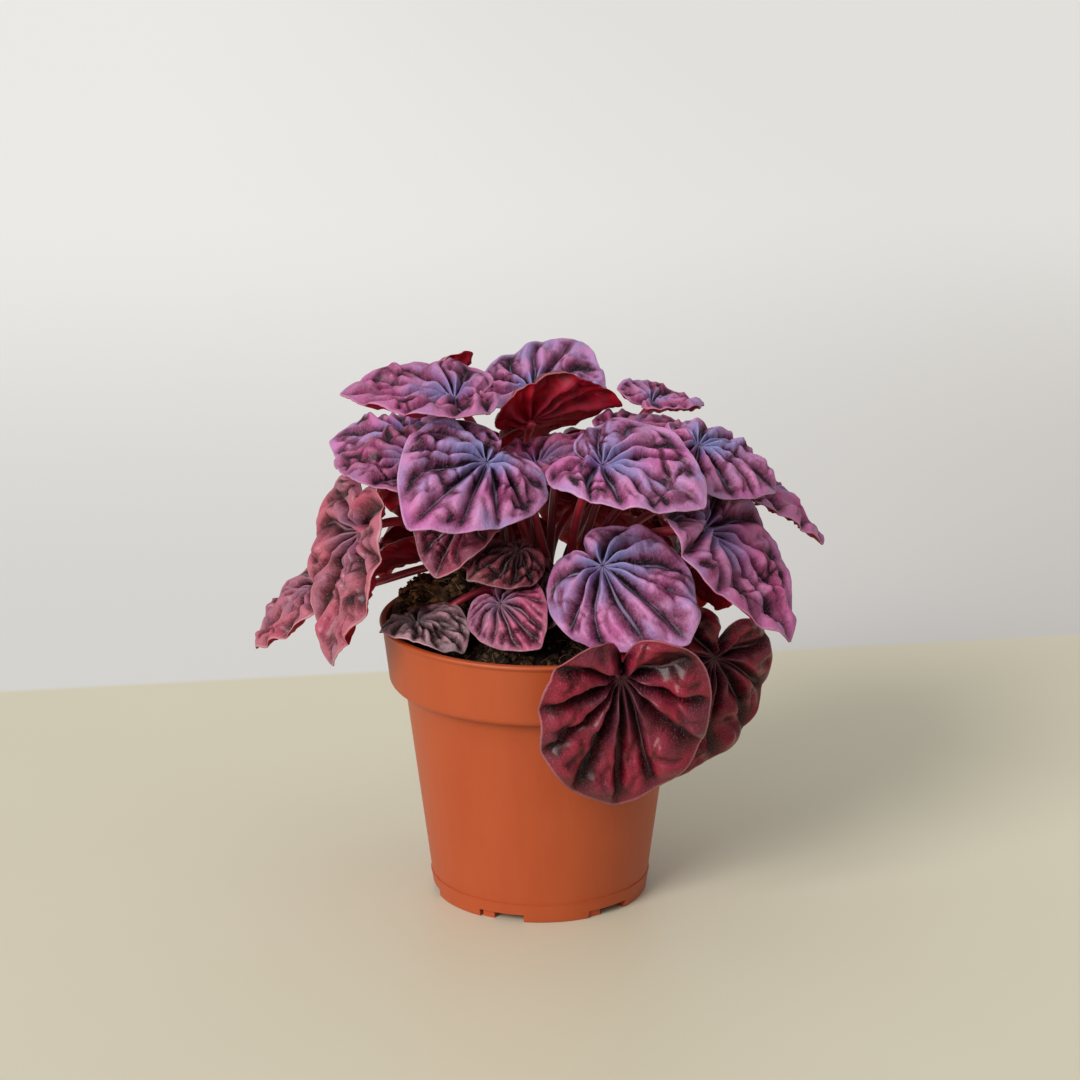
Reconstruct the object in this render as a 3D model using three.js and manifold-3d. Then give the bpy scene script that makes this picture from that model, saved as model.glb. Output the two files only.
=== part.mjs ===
// A ripple peperomia with dark red, deeply quilted leaves in a plastic nursery pot.
// Millimetres, +Z up. The origin is on the ground under the middle of the pot, and the front faces -Y.
import * as THREE from 'three';
import { mergeVertices } from 'three/addons/utils/BufferGeometryUtils.js';
import Module from 'manifold-3d';

const wasm = await Module();
wasm.setup();

const RADIANS = Math.PI / 180;
const GAP = 0.3; // between pieces that would touch

// Pot: a 108 mm nursery pot with a deep band under its lip
const POT_HEIGHT = 96;
const LIP_RADIUS = 54;
const LIP_TALL = 1.6;
const BAND_TOP_RADIUS = 53.3;
const BAND_LOW_RADIUS = 50.6;
const BAND_LOW = 74;
const BAND_ROUNDING = 2.6;
const WALL_TOP_RADIUS = 46;
const FOOT_RADIUS = 36.5;
const FOOT_TALL = 6.4;
const FOOT_STEP = 0.3;
const WALL = 1.6;
const FLOOR_LOW = 3;
const FLOOR_HIGH = 4.6;
const FOOT_RING = 2.6;
const POT_SIDES = 36;
const NOTCH_COUNT = 6;
const NOTCH_SPAN = 25;
const NOTCH_TALL = 2.7;
const NOTCH_FIRST = -21; // degrees round from the front
const LUG_SPAN = 7;
const LUG_SETBACK = 1;
const DRAIN_COUNT = 6;
const DRAIN_RADIUS = 3;
const DRAIN_RING = 25;

// Soil: a mound round the crown, with a lump of peat at the left behind it
const SOIL_EDGE = 85;
const SOIL_RISE = 19;
const SOIL_FLAT = 10; // radius of the level middle
const SOIL_SLOPE = 36;
const LUMP = { x: -31, y: 9, wide: 13, deep: 16, tall: 9 };
const SOIL_RINGS = 6;
const SOIL_SIDES = 24;
const SOIL_GAP = 0.7; // the soil has fewer sides than the pot, so its corners need more room

// Crown and the places of the petioles round it
const CROWN_RADIUS = 3.6;
const CROWN_TOP = 110;
const GOLDEN_ANGLE = 137.508;
const ROOT_PITCH = 3;
const FIRST_ROOT = 7;
const ROOT_LOW = 96;
const ROOT_TOP = 106;
const HOLE_CLEARANCE = 0.95;

// Petiole and blade
const PETIOLE_RADIUS = 1.45;
const PETIOLE_SIDES = 5;
const PETIOLE_STEPS = 6;
const PETIOLE_LEAN = 0.3; // how far it leaves its foot aslant
const LEAVING_REACH = 0.38; // length of the curve's lower handle, as a share of the distance
const ARRIVING_REACH = 0.3;
const ARRIVING_DROP = 0.75; // the upper handle comes from under the blade
const ARRIVING_BACK = 0.66; // and from behind its hub
const LOWER_BOW = 0.4; // share of the bow that the lower handle takes
const HUB_DEPTH = 1.7; // how far below the blade's top the petiole ends
const BLADE_THICK = 1.1;
const RIPPLE = 0.065; // height of the ribs, as a share of the leaf's length
const RIB_RISE = 1.35; // crests stand this far over the valleys
const VALLEY_SINK = 0.35; // and the valleys lie this far under the level
const RIB_ROUNDING = 0.7; // under 1, the ribs are broad and the valleys narrow
const HUB_FLAT = 0.3; // the ribs grow up to this share of the way out
const MARGIN_FLAT = 0.6; // and sink again from this share on
const MARGIN_SINK = 0.75;
const HALF_WIDTH = 0.45; // of a blade of unit length
const FOLD_WIDTH = 0.12; // how close to the midrib the fold is
const FOLD_GAIN = 1.25;
const CUP = 15; // degrees that the margins curl down
const VEIN_BEND = 0.24;
const VEINS = [0, 26, 56, 90, 128, 180];
const STATIONS = [0, 13, 26, 41, 56, 73, 90, 109, 128, 150, 172];
const RINGS = [0.35, 0.75, 1];
const LARGE_LEAF = 50;
const LARGE_RINGS = [0.3, 0.6, 0.85, 1];
const SMALL_LEAF = 36;
const SMALL_RINGS = [0.5, 1];

// Outline of a leaf of unit length: degrees round from the tip, reach from the hub
const OUTLINE = [
  [0, 0.74], [12, 0.665], [30, 0.58], [55, 0.505], [85, 0.445],
  [115, 0.405], [140, 0.345], [157, 0.285], [170, 0.2], [180, 0.07],
];

// name, root place, hub [x, y, z], turn [heading, droop, roll], length, bend [arch, fold],
// petiole's bow [x, y], finish
const LEAVES = [
  ['leaf_top_left', 2, [-28, -9, 174], [190, 0, -10], 51, [-10, 15], [0, 4], 'magenta'],
  ['leaf_top_middle', 12, [-2, 42, 163], [65, -20, 10], 50, [5, 0], [0, -4], 'lilac'],
  ['leaf_top_rear', 15, [-36, 37, 162], [30, -50, -55], 28, [15, 15], [11, -11], 'rose'],
  ['leaf_top_turned', 0, [-4, 7, 162], [20, -20, -45], 44, [45, 15], [0, 22], 'burgundy'],
  ['leaf_top_right', 9, [38, 31, 162], [45, 5, 10], 32, [15, 20], [-6, -5], 'magenta'],
  ['leaf_upper_right', 6, [29, 3, 160], [35, 0, 5], 32, [10, 10], [4, 4], 'magenta'],
  ['leaf_left_shoulder', 10, [-44, 9, 156], [150, 0, -20], 44, [25, -5], [0, 0], 'lilac'],
  ['leaf_left_folded', 5, [-40, -18, 154], [150, -10, -15], 45, [45, 10], [-10, 10], 'magenta'],
  ['leaf_front_left', 8, [-17, -34, 159], [235, 10, -30], 53, [40, 5], [4, 4], 'lilac'],
  ['leaf_front_middle', 3, [-1, -15, 153], [30, -15, 5], 40, [15, 5], [0, 0], 'magenta'],
  ['leaf_front_right', 11, [20, -34, 158], [330, 5, 20], 51, [30, 15], [0, 0], 'lilac'],
  ['leaf_right_shoulder', 14, [52, -13, 159], [0, 15, 20], 43, [50, -10], [0, 0], 'lilac'],
  ['leaf_far_right', 27, [70, 17, 139], [345, 30, -10], 46, [20, 5], [-5, 0], 'magenta'],
  ['leaf_hanging_right', 19, [54, -26, 134], [325, 50, -5], 62, [-15, 15], [0, 0], 'magenta'],
  ['leaf_hanging_left', 23, [-59, -18, 131], [225, 75, 20], 62, [-5, 15], [0, 0], 'rose'],
  ['leaf_far_left', 31, [-75, 12, 103], [180, 40, -10], 43, [15, 10], [0, -8], 'rose'],
  ['leaf_inner_left', 13, [-24, -20, 137], [240, 25, -10], 34, [50, 20], [-4, -4], 'rose'],
  ['leaf_low_dark', 21, [-7, -27, 127], [215, 5, -20], 28, [45, -20], [-5, 0], 'shade'],
  ['leaf_low_small', 16, [4, -24, 118], [260, 45, 20], 26, [20, -10], [0, 0], 'shade'],
  ['leaf_big_front', 24, [20, -40, 126], [315, 20, 35], 55, [35, -15], [8, 0], 'lilac'],
  ['leaf_under_right', 35, [51, -11, 119], [305, 15, -55], 34, [20, -10], [5, 0], 'shade'],
  ['leaf_low_left', 28, [-38, 10, 115], [170, 10, 30], 30, [40, 20], [0, 0], 'rose'],
  ['leaf_pot_middle', 34, [-13, -30, 110], [305, 20, 40], 30, [35, 5], [0, 0], 'magenta'],
  ['leaf_pot_left', 26, [-41, -20, 100], [315, -5, 10], 31, [55, 15], [0, 0], 'shade'],
  ['leaf_over_rim', 29, [26, -58, 94], [280, 110, 0], 66, [-25, 25], [11, 11], 'burgundy'],
  ['leaf_over_rim_right', 32, [57, -36, 93], [215, 70, -85], 56, [10, 0], [0, 0], 'burgundy'],
  ['leaf_back_top', 4, [7, 49, 141], [85, 45, 0], 50, [30, 10], [0, 0], 'lilac'],
  ['leaf_back_right', 17, [32, 30, 143], [60, 40, 0], 50, [30, 10], [0, 0], 'magenta'],
  ['leaf_back_left', 7, [-32, 30, 143], [125, 40, 0], 50, [30, 10], [4, 4], 'magenta'],
  ['leaf_back_low_right', 25, [14, 53, 121], [70, 50, 0], 42, [30, 10], [0, 0], 'rose'],
  ['leaf_back_low', 33, [-14, 42, 112], [110, 40, 0], 46, [25, 5], [0, 0], 'burgundy'],
  ['leaf_back_side_right', 30, [42, 24, 118], [30, 50, 0], 44, [30, 10], [0, 0], 'rose'],
  ['leaf_back_side_left', 20, [-40, 30, 119], [140, 40, 0], 40, [30, 10], [0, 0], 'rose'],
];

const FINISHES = {
  orange: { color: 0xc0592f, roughness: 0.5 },
  peat: { color: 0x3a2a20, roughness: 0.95 },
  stem: { color: 0x9a2038, roughness: 0.45 },
  lilac: { color: 0xa0628f, roughness: 0.42 },
  magenta: { color: 0x93466f, roughness: 0.42 },
  rose: { color: 0x8c4150, roughness: 0.4 },
  burgundy: { color: 0x6b2134, roughness: 0.38 },
  shade: { color: 0x4a2430, roughness: 0.5 },
};

// Solids from geometry, and back
function solidOf(geometry) {
  geometry.deleteAttribute('normal');
  geometry.deleteAttribute('uv');
  const merged = mergeVertices(geometry);
  return new wasm.Manifold(new wasm.Mesh({
    numProp: 3,
    vertProperties: new Float32Array(merged.attributes.position.array),
    triVerts: new Uint32Array(merged.index.array),
  }));
}

function geometryOf(solid) {
  const mesh = solid.getMesh();
  const geometry = new THREE.BufferGeometry();
  geometry.setAttribute('position', new THREE.BufferAttribute(mesh.vertProperties, 3));
  geometry.setIndex(new THREE.BufferAttribute(mesh.triVerts, 1));
  geometry.computeVertexNormals();
  return geometry;
}

function meshOf(name, solid, finish) {
  const material = new THREE.MeshStandardMaterial({ ...FINISHES[finish], metalness: 0 });
  const mesh = new THREE.Mesh(geometryOf(solid), material);
  mesh.name = name;
  return mesh;
}

function latheZ(profile, sides) {
  const points = profile.map(([radius, z]) => new THREE.Vector2(radius, z));
  return new THREE.LatheGeometry(points, sides).rotateX(Math.PI / 2);
}

function smoothstep(low, high, value) {
  const t = Math.min(Math.max((value - low) / (high - low), 0), 1);
  return t * t * (3 - 2 * t);
}

// Pot
function bandRadiusAt(z) {
  return BAND_LOW_RADIUS + (BAND_TOP_RADIUS - BAND_LOW_RADIUS) * (z - BAND_LOW) / (POT_HEIGHT - BAND_LOW);
}

function wallRadiusAt(z) {
  return FOOT_RADIUS + (WALL_TOP_RADIUS - FOOT_RADIUS) * z / BAND_LOW;
}

function potOutside() {
  const profile = [[0, 0], [FOOT_RADIUS - 0.4, 0], [FOOT_RADIUS, 0.5], [wallRadiusAt(FOOT_TALL), FOOT_TALL]];
  profile.push([wallRadiusAt(FOOT_TALL) - FOOT_STEP, FOOT_TALL + 0.3], [WALL_TOP_RADIUS, BAND_LOW]);
  const centre = bandRadiusAt(BAND_LOW + BAND_ROUNDING) - BAND_ROUNDING;
  for (const degrees of [-70, -25]) {
    const reach = BAND_ROUNDING * Math.cos(degrees * RADIANS);
    profile.push([centre + reach, BAND_LOW + BAND_ROUNDING + BAND_ROUNDING * Math.sin(degrees * RADIANS)]);
  }
  const lipLow = POT_HEIGHT - LIP_TALL;
  profile.push([bandRadiusAt(lipLow), lipLow], [LIP_RADIUS, lipLow + 0.4]);
  profile.push([LIP_RADIUS, POT_HEIGHT - 0.4], [LIP_RADIUS - 0.5, POT_HEIGHT], [0, POT_HEIGHT]);
  return solidOf(latheZ(profile, POT_SIDES));
}

function potInside() {
  const top = POT_HEIGHT + 1;
  return solidOf(latheZ([
    [0, FLOOR_HIGH], [wallRadiusAt(FLOOR_HIGH) - WALL, FLOOR_HIGH], [WALL_TOP_RADIUS - WALL, BAND_LOW],
    [bandRadiusAt(BAND_LOW + BAND_ROUNDING) - WALL, BAND_LOW + BAND_ROUNDING + 1],
    [bandRadiusAt(top) - WALL, top], [0, top],
  ], POT_SIDES));
}

function ringSector(inner, outer, from, to, low, high) {
  const shape = new THREE.Shape();
  shape.absarc(0, 0, outer, from * RADIANS, to * RADIANS, false);
  shape.absarc(0, 0, inner, to * RADIANS, from * RADIANS, true);
  const options = { depth: high - low, bevelEnabled: false, curveSegments: 4 };
  return solidOf(new THREE.ExtrudeGeometry(shape, options).translate(0, 0, low));
}

function footNotch(centre) {
  const from = centre - NOTCH_SPAN / 2;
  const to = centre + NOTCH_SPAN / 2;
  const inner = FOOT_RADIUS - FOOT_RING - 1;
  const notch = ringSector(inner, FOOT_RADIUS + 2, from, to, -1, NOTCH_TALL);
  const start = from + 1;
  const lug = ringSector(inner - 1, FOOT_RADIUS - LUG_SETBACK, start, start + LUG_SPAN, -2, NOTCH_TALL + 1);
  return notch.subtract(lug);
}

function cylinderZ(radius, low, high, sides, x = 0, y = 0) {
  const geometry = new THREE.CylinderGeometry(radius, radius, high - low, sides).rotateX(Math.PI / 2);
  return solidOf(geometry.translate(x, y, (high + low) / 2));
}

function buildPot() {
  let pot = potOutside().subtract(potInside());
  pot = pot.subtract(cylinderZ(FOOT_RADIUS - FOOT_RING, -1, FLOOR_LOW, POT_SIDES));
  for (let i = 0; i < NOTCH_COUNT; i += 1) {
    pot = pot.subtract(footNotch(NOTCH_FIRST - 90 + i * 360 / NOTCH_COUNT));
  }
  for (let i = 0; i < DRAIN_COUNT; i += 1) {
    const angle = i * 2 * Math.PI / DRAIN_COUNT;
    const x = DRAIN_RING * Math.cos(angle);
    const y = DRAIN_RING * Math.sin(angle);
    pot = pot.subtract(cylinderZ(DRAIN_RADIUS, FLOOR_LOW - 1, FLOOR_HIGH + 1, 8, x, y));
  }
  return meshOf('pot', pot, 'orange');
}

// Soil
function soilHeightAt(x, y) {
  const radius = Math.hypot(x, y);
  const mound = SOIL_EDGE + SOIL_RISE * (1 - smoothstep(SOIL_FLAT, SOIL_FLAT + SOIL_SLOPE, radius));
  const across = ((x - LUMP.x) / LUMP.wide) ** 2;
  const along = ((y - LUMP.y) / LUMP.deep) ** 2;
  return mound + LUMP.tall * Math.exp(-across - along);
}

function buildSoil(roots) {
  const inset = WALL + SOIL_GAP;
  const edge = bandRadiusAt(SOIL_EDGE) - inset;
  const profile = [
    [0, FLOOR_HIGH + GAP], [wallRadiusAt(FLOOR_HIGH) - inset, FLOOR_HIGH + GAP],
    [WALL_TOP_RADIUS - inset, BAND_LOW],
    [bandRadiusAt(BAND_LOW + BAND_ROUNDING) - inset, BAND_LOW + BAND_ROUNDING + 1], [edge, SOIL_EDGE],
  ];
  for (let i = SOIL_RINGS - 1; i >= 0; i -= 1) {
    profile.push([edge * i / SOIL_RINGS, SOIL_EDGE + 1]);
  }
  const geometry = latheZ(profile, SOIL_SIDES);
  const place = geometry.attributes.position;
  for (let i = 0; i < place.count; i += 1) {
    if (place.getZ(i) > SOIL_EDGE + 0.5) {
      place.setZ(i, soilHeightAt(place.getX(i), place.getY(i)));
    }
  }
  let soil = solidOf(geometry);
  for (const [x, y] of roots) {
    soil = soil.subtract(cylinderZ(PETIOLE_RADIUS + HOLE_CLEARANCE, ROOT_LOW - GAP, CROWN_TOP + 5, 6, x, y));
  }
  soil = soil.subtract(cylinderZ(CROWN_RADIUS + 0.4, ROOT_LOW - GAP, CROWN_TOP + 5, 12));
  return meshOf('soil', soil, 'peat');
}

function buildCrown() {
  const profile = [
    [0, ROOT_LOW], [CROWN_RADIUS, ROOT_LOW], [CROWN_RADIUS, ROOT_TOP], [CROWN_RADIUS * 0.7, CROWN_TOP - 1.5],
    [0, CROWN_TOP],
  ];
  return meshOf('crown', solidOf(latheZ(profile, 12)), 'stem');
}

// Leaf
function outlineReach(degrees) {
  const angle = Math.abs(degrees);
  let i = OUTLINE.findIndex(([start]) => start > angle) - 1;
  if (i < 0) {
    i = OUTLINE.length - 2;
  }
  const slope = (a, b) => (OUTLINE[b][1] - OUTLINE[a][1]) / (OUTLINE[b][0] - OUTLINE[a][0]);
  const last = OUTLINE.length - 1;
  const span = OUTLINE[i + 1][0] - OUTLINE[i][0];
  const t = (angle - OUTLINE[i][0]) / span;
  const from = slope(Math.max(i - 1, 0), i + 1) * span;
  const to = slope(i, Math.min(i + 2, last)) * span;
  return (2 * t ** 3 - 3 * t ** 2 + 1) * OUTLINE[i][1] + (t ** 3 - 2 * t ** 2 + t) * from
    + (3 * t ** 2 - 2 * t ** 3) * OUTLINE[i + 1][1] + (t ** 3 - t ** 2) * to;
}

// The blade stands up between its veins and sinks along them
function quilting(degrees) {
  const angle = Math.abs(degrees);
  let i = VEINS.findIndex((vein) => vein > angle) - 1;
  if (i < 0) {
    i = VEINS.length - 2;
  }
  const t = (angle - VEINS[i]) / (VEINS[i + 1] - VEINS[i]);
  return RIB_RISE * Math.sin(Math.PI * Math.min(Math.max(t, 0), 1)) ** RIB_ROUNDING - VALLEY_SINK;
}

function leafAxes([heading, droop, roll]) {
  const turn = new THREE.Matrix4().makeRotationZ(heading * RADIANS);
  turn.multiply(new THREE.Matrix4().makeRotationY(droop * RADIANS));
  turn.multiply(new THREE.Matrix4().makeRotationX(roll * RADIANS));
  const [along, across, up] = [new THREE.Vector3(), new THREE.Vector3(), new THREE.Vector3()];
  turn.extractBasis(along, across, up);
  return { along, across, up };
}

// A point of the blade: station in degrees round the hub, share of the way out, depth under the top
function bladePoint(leaf, station, share, depth) {
  const [arch, fold] = leaf.bend;
  const angle = station * RADIANS;
  const direction = angle - VEIN_BEND * share * Math.sin(angle);
  const edgeDegrees = (angle - VEIN_BEND * Math.sin(angle)) / RADIANS;
  const reach = share * leaf.length * outlineReach(edgeDegrees);
  const x = reach * Math.cos(direction);
  const y = reach * Math.sin(direction);
  const swell = smoothstep(0, HUB_FLAT, share) * (1 - MARGIN_SINK * smoothstep(MARGIN_FLAT, 1, share));
  const lift = RIPPLE * leaf.length * quilting(station) * swell - depth;
  const side = Math.abs(y);
  const folded = fold * RADIANS * FOLD_GAIN * side / (side + FOLD_WIDTH * leaf.length);
  const rise = folded - 0.5 * CUP * RADIANS * side / (HALF_WIDTH * leaf.length);
  const out = Math.sign(y) * (side * Math.cos(rise) - lift * Math.sin(rise));
  const height = side * Math.sin(rise) + lift * Math.cos(rise);
  const curl = arch * RADIANS / leaf.length;
  const swing = curl * x;
  const forward = Math.sin(swing) / curl + height * Math.sin(swing);
  const upward = (Math.cos(swing) - 1) / curl + height * Math.cos(swing);
  const { along, across, up } = leaf.axes;
  return leaf.hub.clone()
    .addScaledVector(along, forward).addScaledVector(across, out).addScaledVector(up, upward);
}

function ringsFor(length) {
  if (length < SMALL_LEAF) {
    return SMALL_RINGS;
  }
  return length < LARGE_LEAF ? RINGS : LARGE_RINGS;
}

function bladeSolid(leaf) {
  const left = STATIONS.slice(1).reverse().map((station) => -station);
  const stations = [...STATIONS, 180, ...left];
  const count = stations.length;
  const rings = ringsFor(leaf.length);
  const face = 1 + rings.length * count;
  const positions = [];
  for (const depth of [0, BLADE_THICK]) {
    positions.push(...bladePoint(leaf, 0, 0, depth));
    for (const share of rings) {
      stations.forEach((station) => positions.push(...bladePoint(leaf, station, share, depth)));
    }
  }
  const index = [];
  const at = (ring, j, under) => 1 + ring * count + (j % count) + under * face;
  const put = (under, a, b, c) => index.push(...(under ? [a, c, b] : [a, b, c]));
  for (let j = 0; j < count; j += 1) {
    for (const under of [0, 1]) {
      put(under, under * face, at(0, j, under), at(0, j + 1, under));
      for (let ring = 0; ring < rings.length - 1; ring += 1) {
        put(under, at(ring, j, under), at(ring + 1, j, under), at(ring + 1, j + 1, under));
        put(under, at(ring, j, under), at(ring + 1, j + 1, under), at(ring, j + 1, under));
      }
    }
    const rim = rings.length - 1;
    index.push(at(rim, j, 0), at(rim, j, 1), at(rim, j + 1, 1));
    index.push(at(rim, j, 0), at(rim, j + 1, 1), at(rim, j + 1, 0));
  }
  const geometry = new THREE.BufferGeometry();
  geometry.setAttribute('position', new THREE.Float32BufferAttribute(positions, 3));
  geometry.setIndex(index);
  return solidOf(geometry);
}

function petioleSolid(leaf) {
  const { along, up } = leaf.axes;
  const [x, y] = leaf.root;
  const hub = leaf.hub.clone().addScaledVector(up, -HUB_DEPTH);
  const top = new THREE.Vector3(x, y, ROOT_TOP);
  const distance = hub.distanceTo(top);
  const outward = hub.clone().sub(top).setZ(0).divideScalar(distance);
  const bow = new THREE.Vector3(...leaf.bow, 0);
  const leaving = new THREE.Vector3(0, 0, 1).addScaledVector(outward, PETIOLE_LEAN);
  const arriving = up.clone().multiplyScalar(-ARRIVING_DROP).addScaledVector(along, -ARRIVING_BACK);
  const path = new THREE.CurvePath();
  path.add(new THREE.LineCurve3(new THREE.Vector3(x, y, ROOT_LOW), top));
  const lower = top.clone().addScaledVector(leaving, distance * LEAVING_REACH);
  lower.addScaledVector(bow, LOWER_BOW);
  const upper = hub.clone().addScaledVector(arriving, distance * ARRIVING_REACH).add(bow);
  path.add(new THREE.CubicBezierCurve3(top, lower, upper, hub));
  const section = new THREE.Shape();
  for (let i = 0; i < PETIOLE_SIDES; i += 1) {
    const angle = i * 2 * Math.PI / PETIOLE_SIDES;
    const corner = [PETIOLE_RADIUS * Math.cos(angle), PETIOLE_RADIUS * Math.sin(angle)];
    section[i ? 'lineTo' : 'moveTo'](...corner);
  }
  const options = { steps: PETIOLE_STEPS, extrudePath: path, bevelEnabled: false };
  return solidOf(new THREE.ExtrudeGeometry(section, options));
}

function rootPlace(place) {
  const number = place + FIRST_ROOT;
  const radius = ROOT_PITCH * Math.sqrt(number + 0.7);
  const angle = number * GOLDEN_ANGLE * RADIANS;
  return [radius * Math.cos(angle), radius * Math.sin(angle)];
}

function leafOf([name, place, hub, turn, length, bend, bow, finish]) {
  const at = new THREE.Vector3(...hub);
  return { name, root: rootPlace(place), hub: at, axes: leafAxes(turn), length, bend, bow, finish };
}

function buildLeaf(row) {
  const leaf = leafOf(row);
  return meshOf(leaf.name, bladeSolid(leaf).add(petioleSolid(leaf)), leaf.finish);
}

const plant = new THREE.Group();
plant.add(buildPot());
plant.add(buildSoil(LEAVES.map((row) => leafOf(row).root)));
plant.add(buildCrown());
LEAVES.forEach((row) => plant.add(buildLeaf(row)));

export default plant;
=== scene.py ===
"""A potted ripple peperomia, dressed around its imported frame.

Each leaf is one quilted blade with its petiole, in the place of the frame's plain leaf. The pot,
the peat and the crown are modelled again with finer surfaces. Sizes are in millimetres, and a mesh
is written in the frame's metres.
"""

import logging
import math
from collections.abc import Callable, Sequence
from dataclasses import dataclass, field
from enum import Enum

import bmesh
import bpy
import numpy as np
from mathutils import Matrix, Vector

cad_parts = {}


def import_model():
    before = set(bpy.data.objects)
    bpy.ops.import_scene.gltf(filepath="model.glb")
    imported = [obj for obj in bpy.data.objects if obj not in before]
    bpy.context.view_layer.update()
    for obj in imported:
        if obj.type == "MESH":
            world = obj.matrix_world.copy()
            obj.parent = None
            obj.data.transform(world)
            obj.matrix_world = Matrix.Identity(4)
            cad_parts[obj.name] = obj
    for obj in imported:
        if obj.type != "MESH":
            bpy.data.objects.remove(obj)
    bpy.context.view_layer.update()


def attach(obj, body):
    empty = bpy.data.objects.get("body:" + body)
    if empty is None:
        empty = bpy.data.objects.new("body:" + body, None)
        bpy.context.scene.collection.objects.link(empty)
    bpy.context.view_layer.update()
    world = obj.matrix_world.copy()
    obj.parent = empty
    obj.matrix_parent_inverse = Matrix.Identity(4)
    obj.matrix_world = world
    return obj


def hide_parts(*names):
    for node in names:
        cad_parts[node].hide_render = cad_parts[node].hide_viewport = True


LOG = logging.getLogger("peperomia")
MM = 0.001
BODY = "root"

Triple = tuple[float, float, float]
Colour = tuple[float, float, float, float]
Array = np.ndarray
Mesh = bpy.types.Mesh
Material = bpy.types.Material
Node = bpy.types.Node
Piece = bpy.types.Object
Socket = bpy.types.NodeSocket
Tree = bpy.types.NodeTree


def colour(code: str) -> Colour:
    """Turn a web colour into the linear colour that a shader socket takes.

    Args:
        code: Six hexadecimal digits, red first.

    Returns:
        Linear red, green, blue and an alpha of 1.
    """
    parts = [int(code[i : i + 2], 16) / 255 for i in (0, 2, 4)]
    red, green, blue = (
        part / 12.92 if part <= 0.04045 else ((part + 0.055) / 1.055) ** 2.4 for part in parts
    )
    return (red, green, blue, 1.0)


def smoothstep(low: float, high: float, value: Array) -> Array:
    """Rise smoothly from 0 at low to 1 at high."""
    t = np.clip((value - low) / (high - low), 0, 1)
    return t * t * (3 - 2 * t)


def waves(x: Array, y: Array, period: float, seed: int, count: int = 7) -> Array:
    """Add up plane waves in random directions, for an uneven surface without a visible repeat.

    Args:
        x: Places across, in millimetres.
        y: Places along, in millimetres.
        period: Middle wavelength, in millimetres.
        seed: Seed of the directions, wavelengths and phases.
        count: Number of waves.

    Returns:
        Values of about -1.5 to 1.5.
    """
    random = np.random.default_rng(seed)
    total = np.zeros(np.broadcast(x, y).shape)
    for _ in range(count):
        turn, phase = random.uniform(0, 2 * math.pi, 2)
        rate = 2 * math.pi / (period * random.uniform(0.7, 1.4))
        total += np.sin(rate * (x * math.cos(turn) + y * math.sin(turn)) + phase)
    return total / math.sqrt(count)


def borders(u: Array, v: Array, seed: int) -> Array:
    """Measure how far points are from the borders between irregular cells, about one unit wide.

    Args:
        u: Places across.
        v: Places along.
        seed: Seed of the cells' middles.

    Returns:
        0 on a border, rising to about 1 in the middle of a cell.
    """
    period, jitter, far = 64, 0.8, 9.0
    random = np.random.default_rng(seed)
    middles = random.uniform(0.5 - jitter / 2, 0.5 + jitter / 2, (period, period, 2))
    column, row = np.floor(u).astype(int), np.floor(v).astype(int)
    nearest = np.full(np.shape(u), far)
    second = np.full(np.shape(u), far)
    for i in (-1, 0, 1):
        for j in (-1, 0, 1):
            middle = middles[(column + i) % period, (row + j) % period]
            distance = np.hypot(column + i + middle[..., 0] - u, row + j + middle[..., 1] - v)
            second = np.minimum(second, np.maximum(nearest, distance))
            nearest = np.minimum(nearest, distance)
    return second - nearest


# Meshes


@dataclass
class Patch:
    """Part of a mesh: points in millimetres, faces, and values that the materials read."""

    points: Array
    faces: list[tuple[int, ...]]
    finish: int = 0
    values: dict[str, Array] = field(default_factory=dict)
    flat: Array | None = None

    @classmethod
    def of_mesh(cls, mesh: Mesh, finish: int, names: Sequence[str] = ()) -> "Patch":
        """Read a patch back from a mesh in metres.

        Args:
            mesh: The mesh.
            finish: Index of the patch's material.
            names: Point attributes to keep.

        Returns:
            The patch, in millimetres.
        """
        points = np.empty(len(mesh.vertices) * 3)
        mesh.vertices.foreach_get("co", points)
        faces = [tuple(polygon.vertices) for polygon in mesh.polygons]
        values = {}
        for name in names:
            values[name] = np.empty(len(mesh.vertices))
            mesh.attributes[name].data.foreach_get("value", values[name])
        return cls(points.reshape(-1, 3) / MM, faces, finish, values)


def mesh_of(name: str, patches: Sequence[Patch], finishes: Sequence[Material]) -> Mesh:
    """Write patches into one mesh with their attributes, UV map and materials.

    Args:
        name: Name of the mesh.
        patches: The patches.
        finishes: Materials, in the order of the patches' indexes.

    Returns:
        The smooth-shaded mesh.
    """
    points: list[Array] = []
    faces: list[tuple[int, ...]] = []
    finish: list[int] = []
    start = 0
    for patch in patches:
        points.append(patch.points)
        faces += [tuple(corner + start for corner in face) for face in patch.faces]
        finish += [patch.finish] * len(patch.faces)
        start += len(patch.points)
    mesh = bpy.data.meshes.new(name)
    mesh.from_pydata(np.concatenate(points) * MM, [], faces)
    for material in finishes:
        mesh.materials.append(material)
    mesh.polygons.foreach_set("material_index", finish)
    mesh.polygons.foreach_set("use_smooth", [True] * len(faces))
    for value in sorted({key for patch in patches for key in patch.values}):
        column = [patch.values.get(value, np.zeros(len(patch.points))) for patch in patches]
        attribute = mesh.attributes.new(value, "FLOAT", "POINT")
        attribute.data.foreach_set("value", np.concatenate(column))
    if any(patch.flat is not None for patch in patches):
        flat = [patch.points[:, :2] if patch.flat is None else patch.flat for patch in patches]
        corners = np.empty(len(mesh.loops), dtype=np.int32)
        mesh.loops.foreach_get("vertex_index", corners)
        spread = (np.concatenate(flat) * MM)[corners]
        mesh.uv_layers.new(name="flat").data.foreach_set("uv", spread.ravel())
    mesh.validate()
    return mesh


def placed(name: str, data: bpy.types.ID) -> Piece:
    """Put a mesh, a light or a camera into the scene, at the origin."""
    thing = bpy.data.objects.new(name, data)
    bpy.context.scene.collection.objects.link(thing)
    return thing


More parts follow.
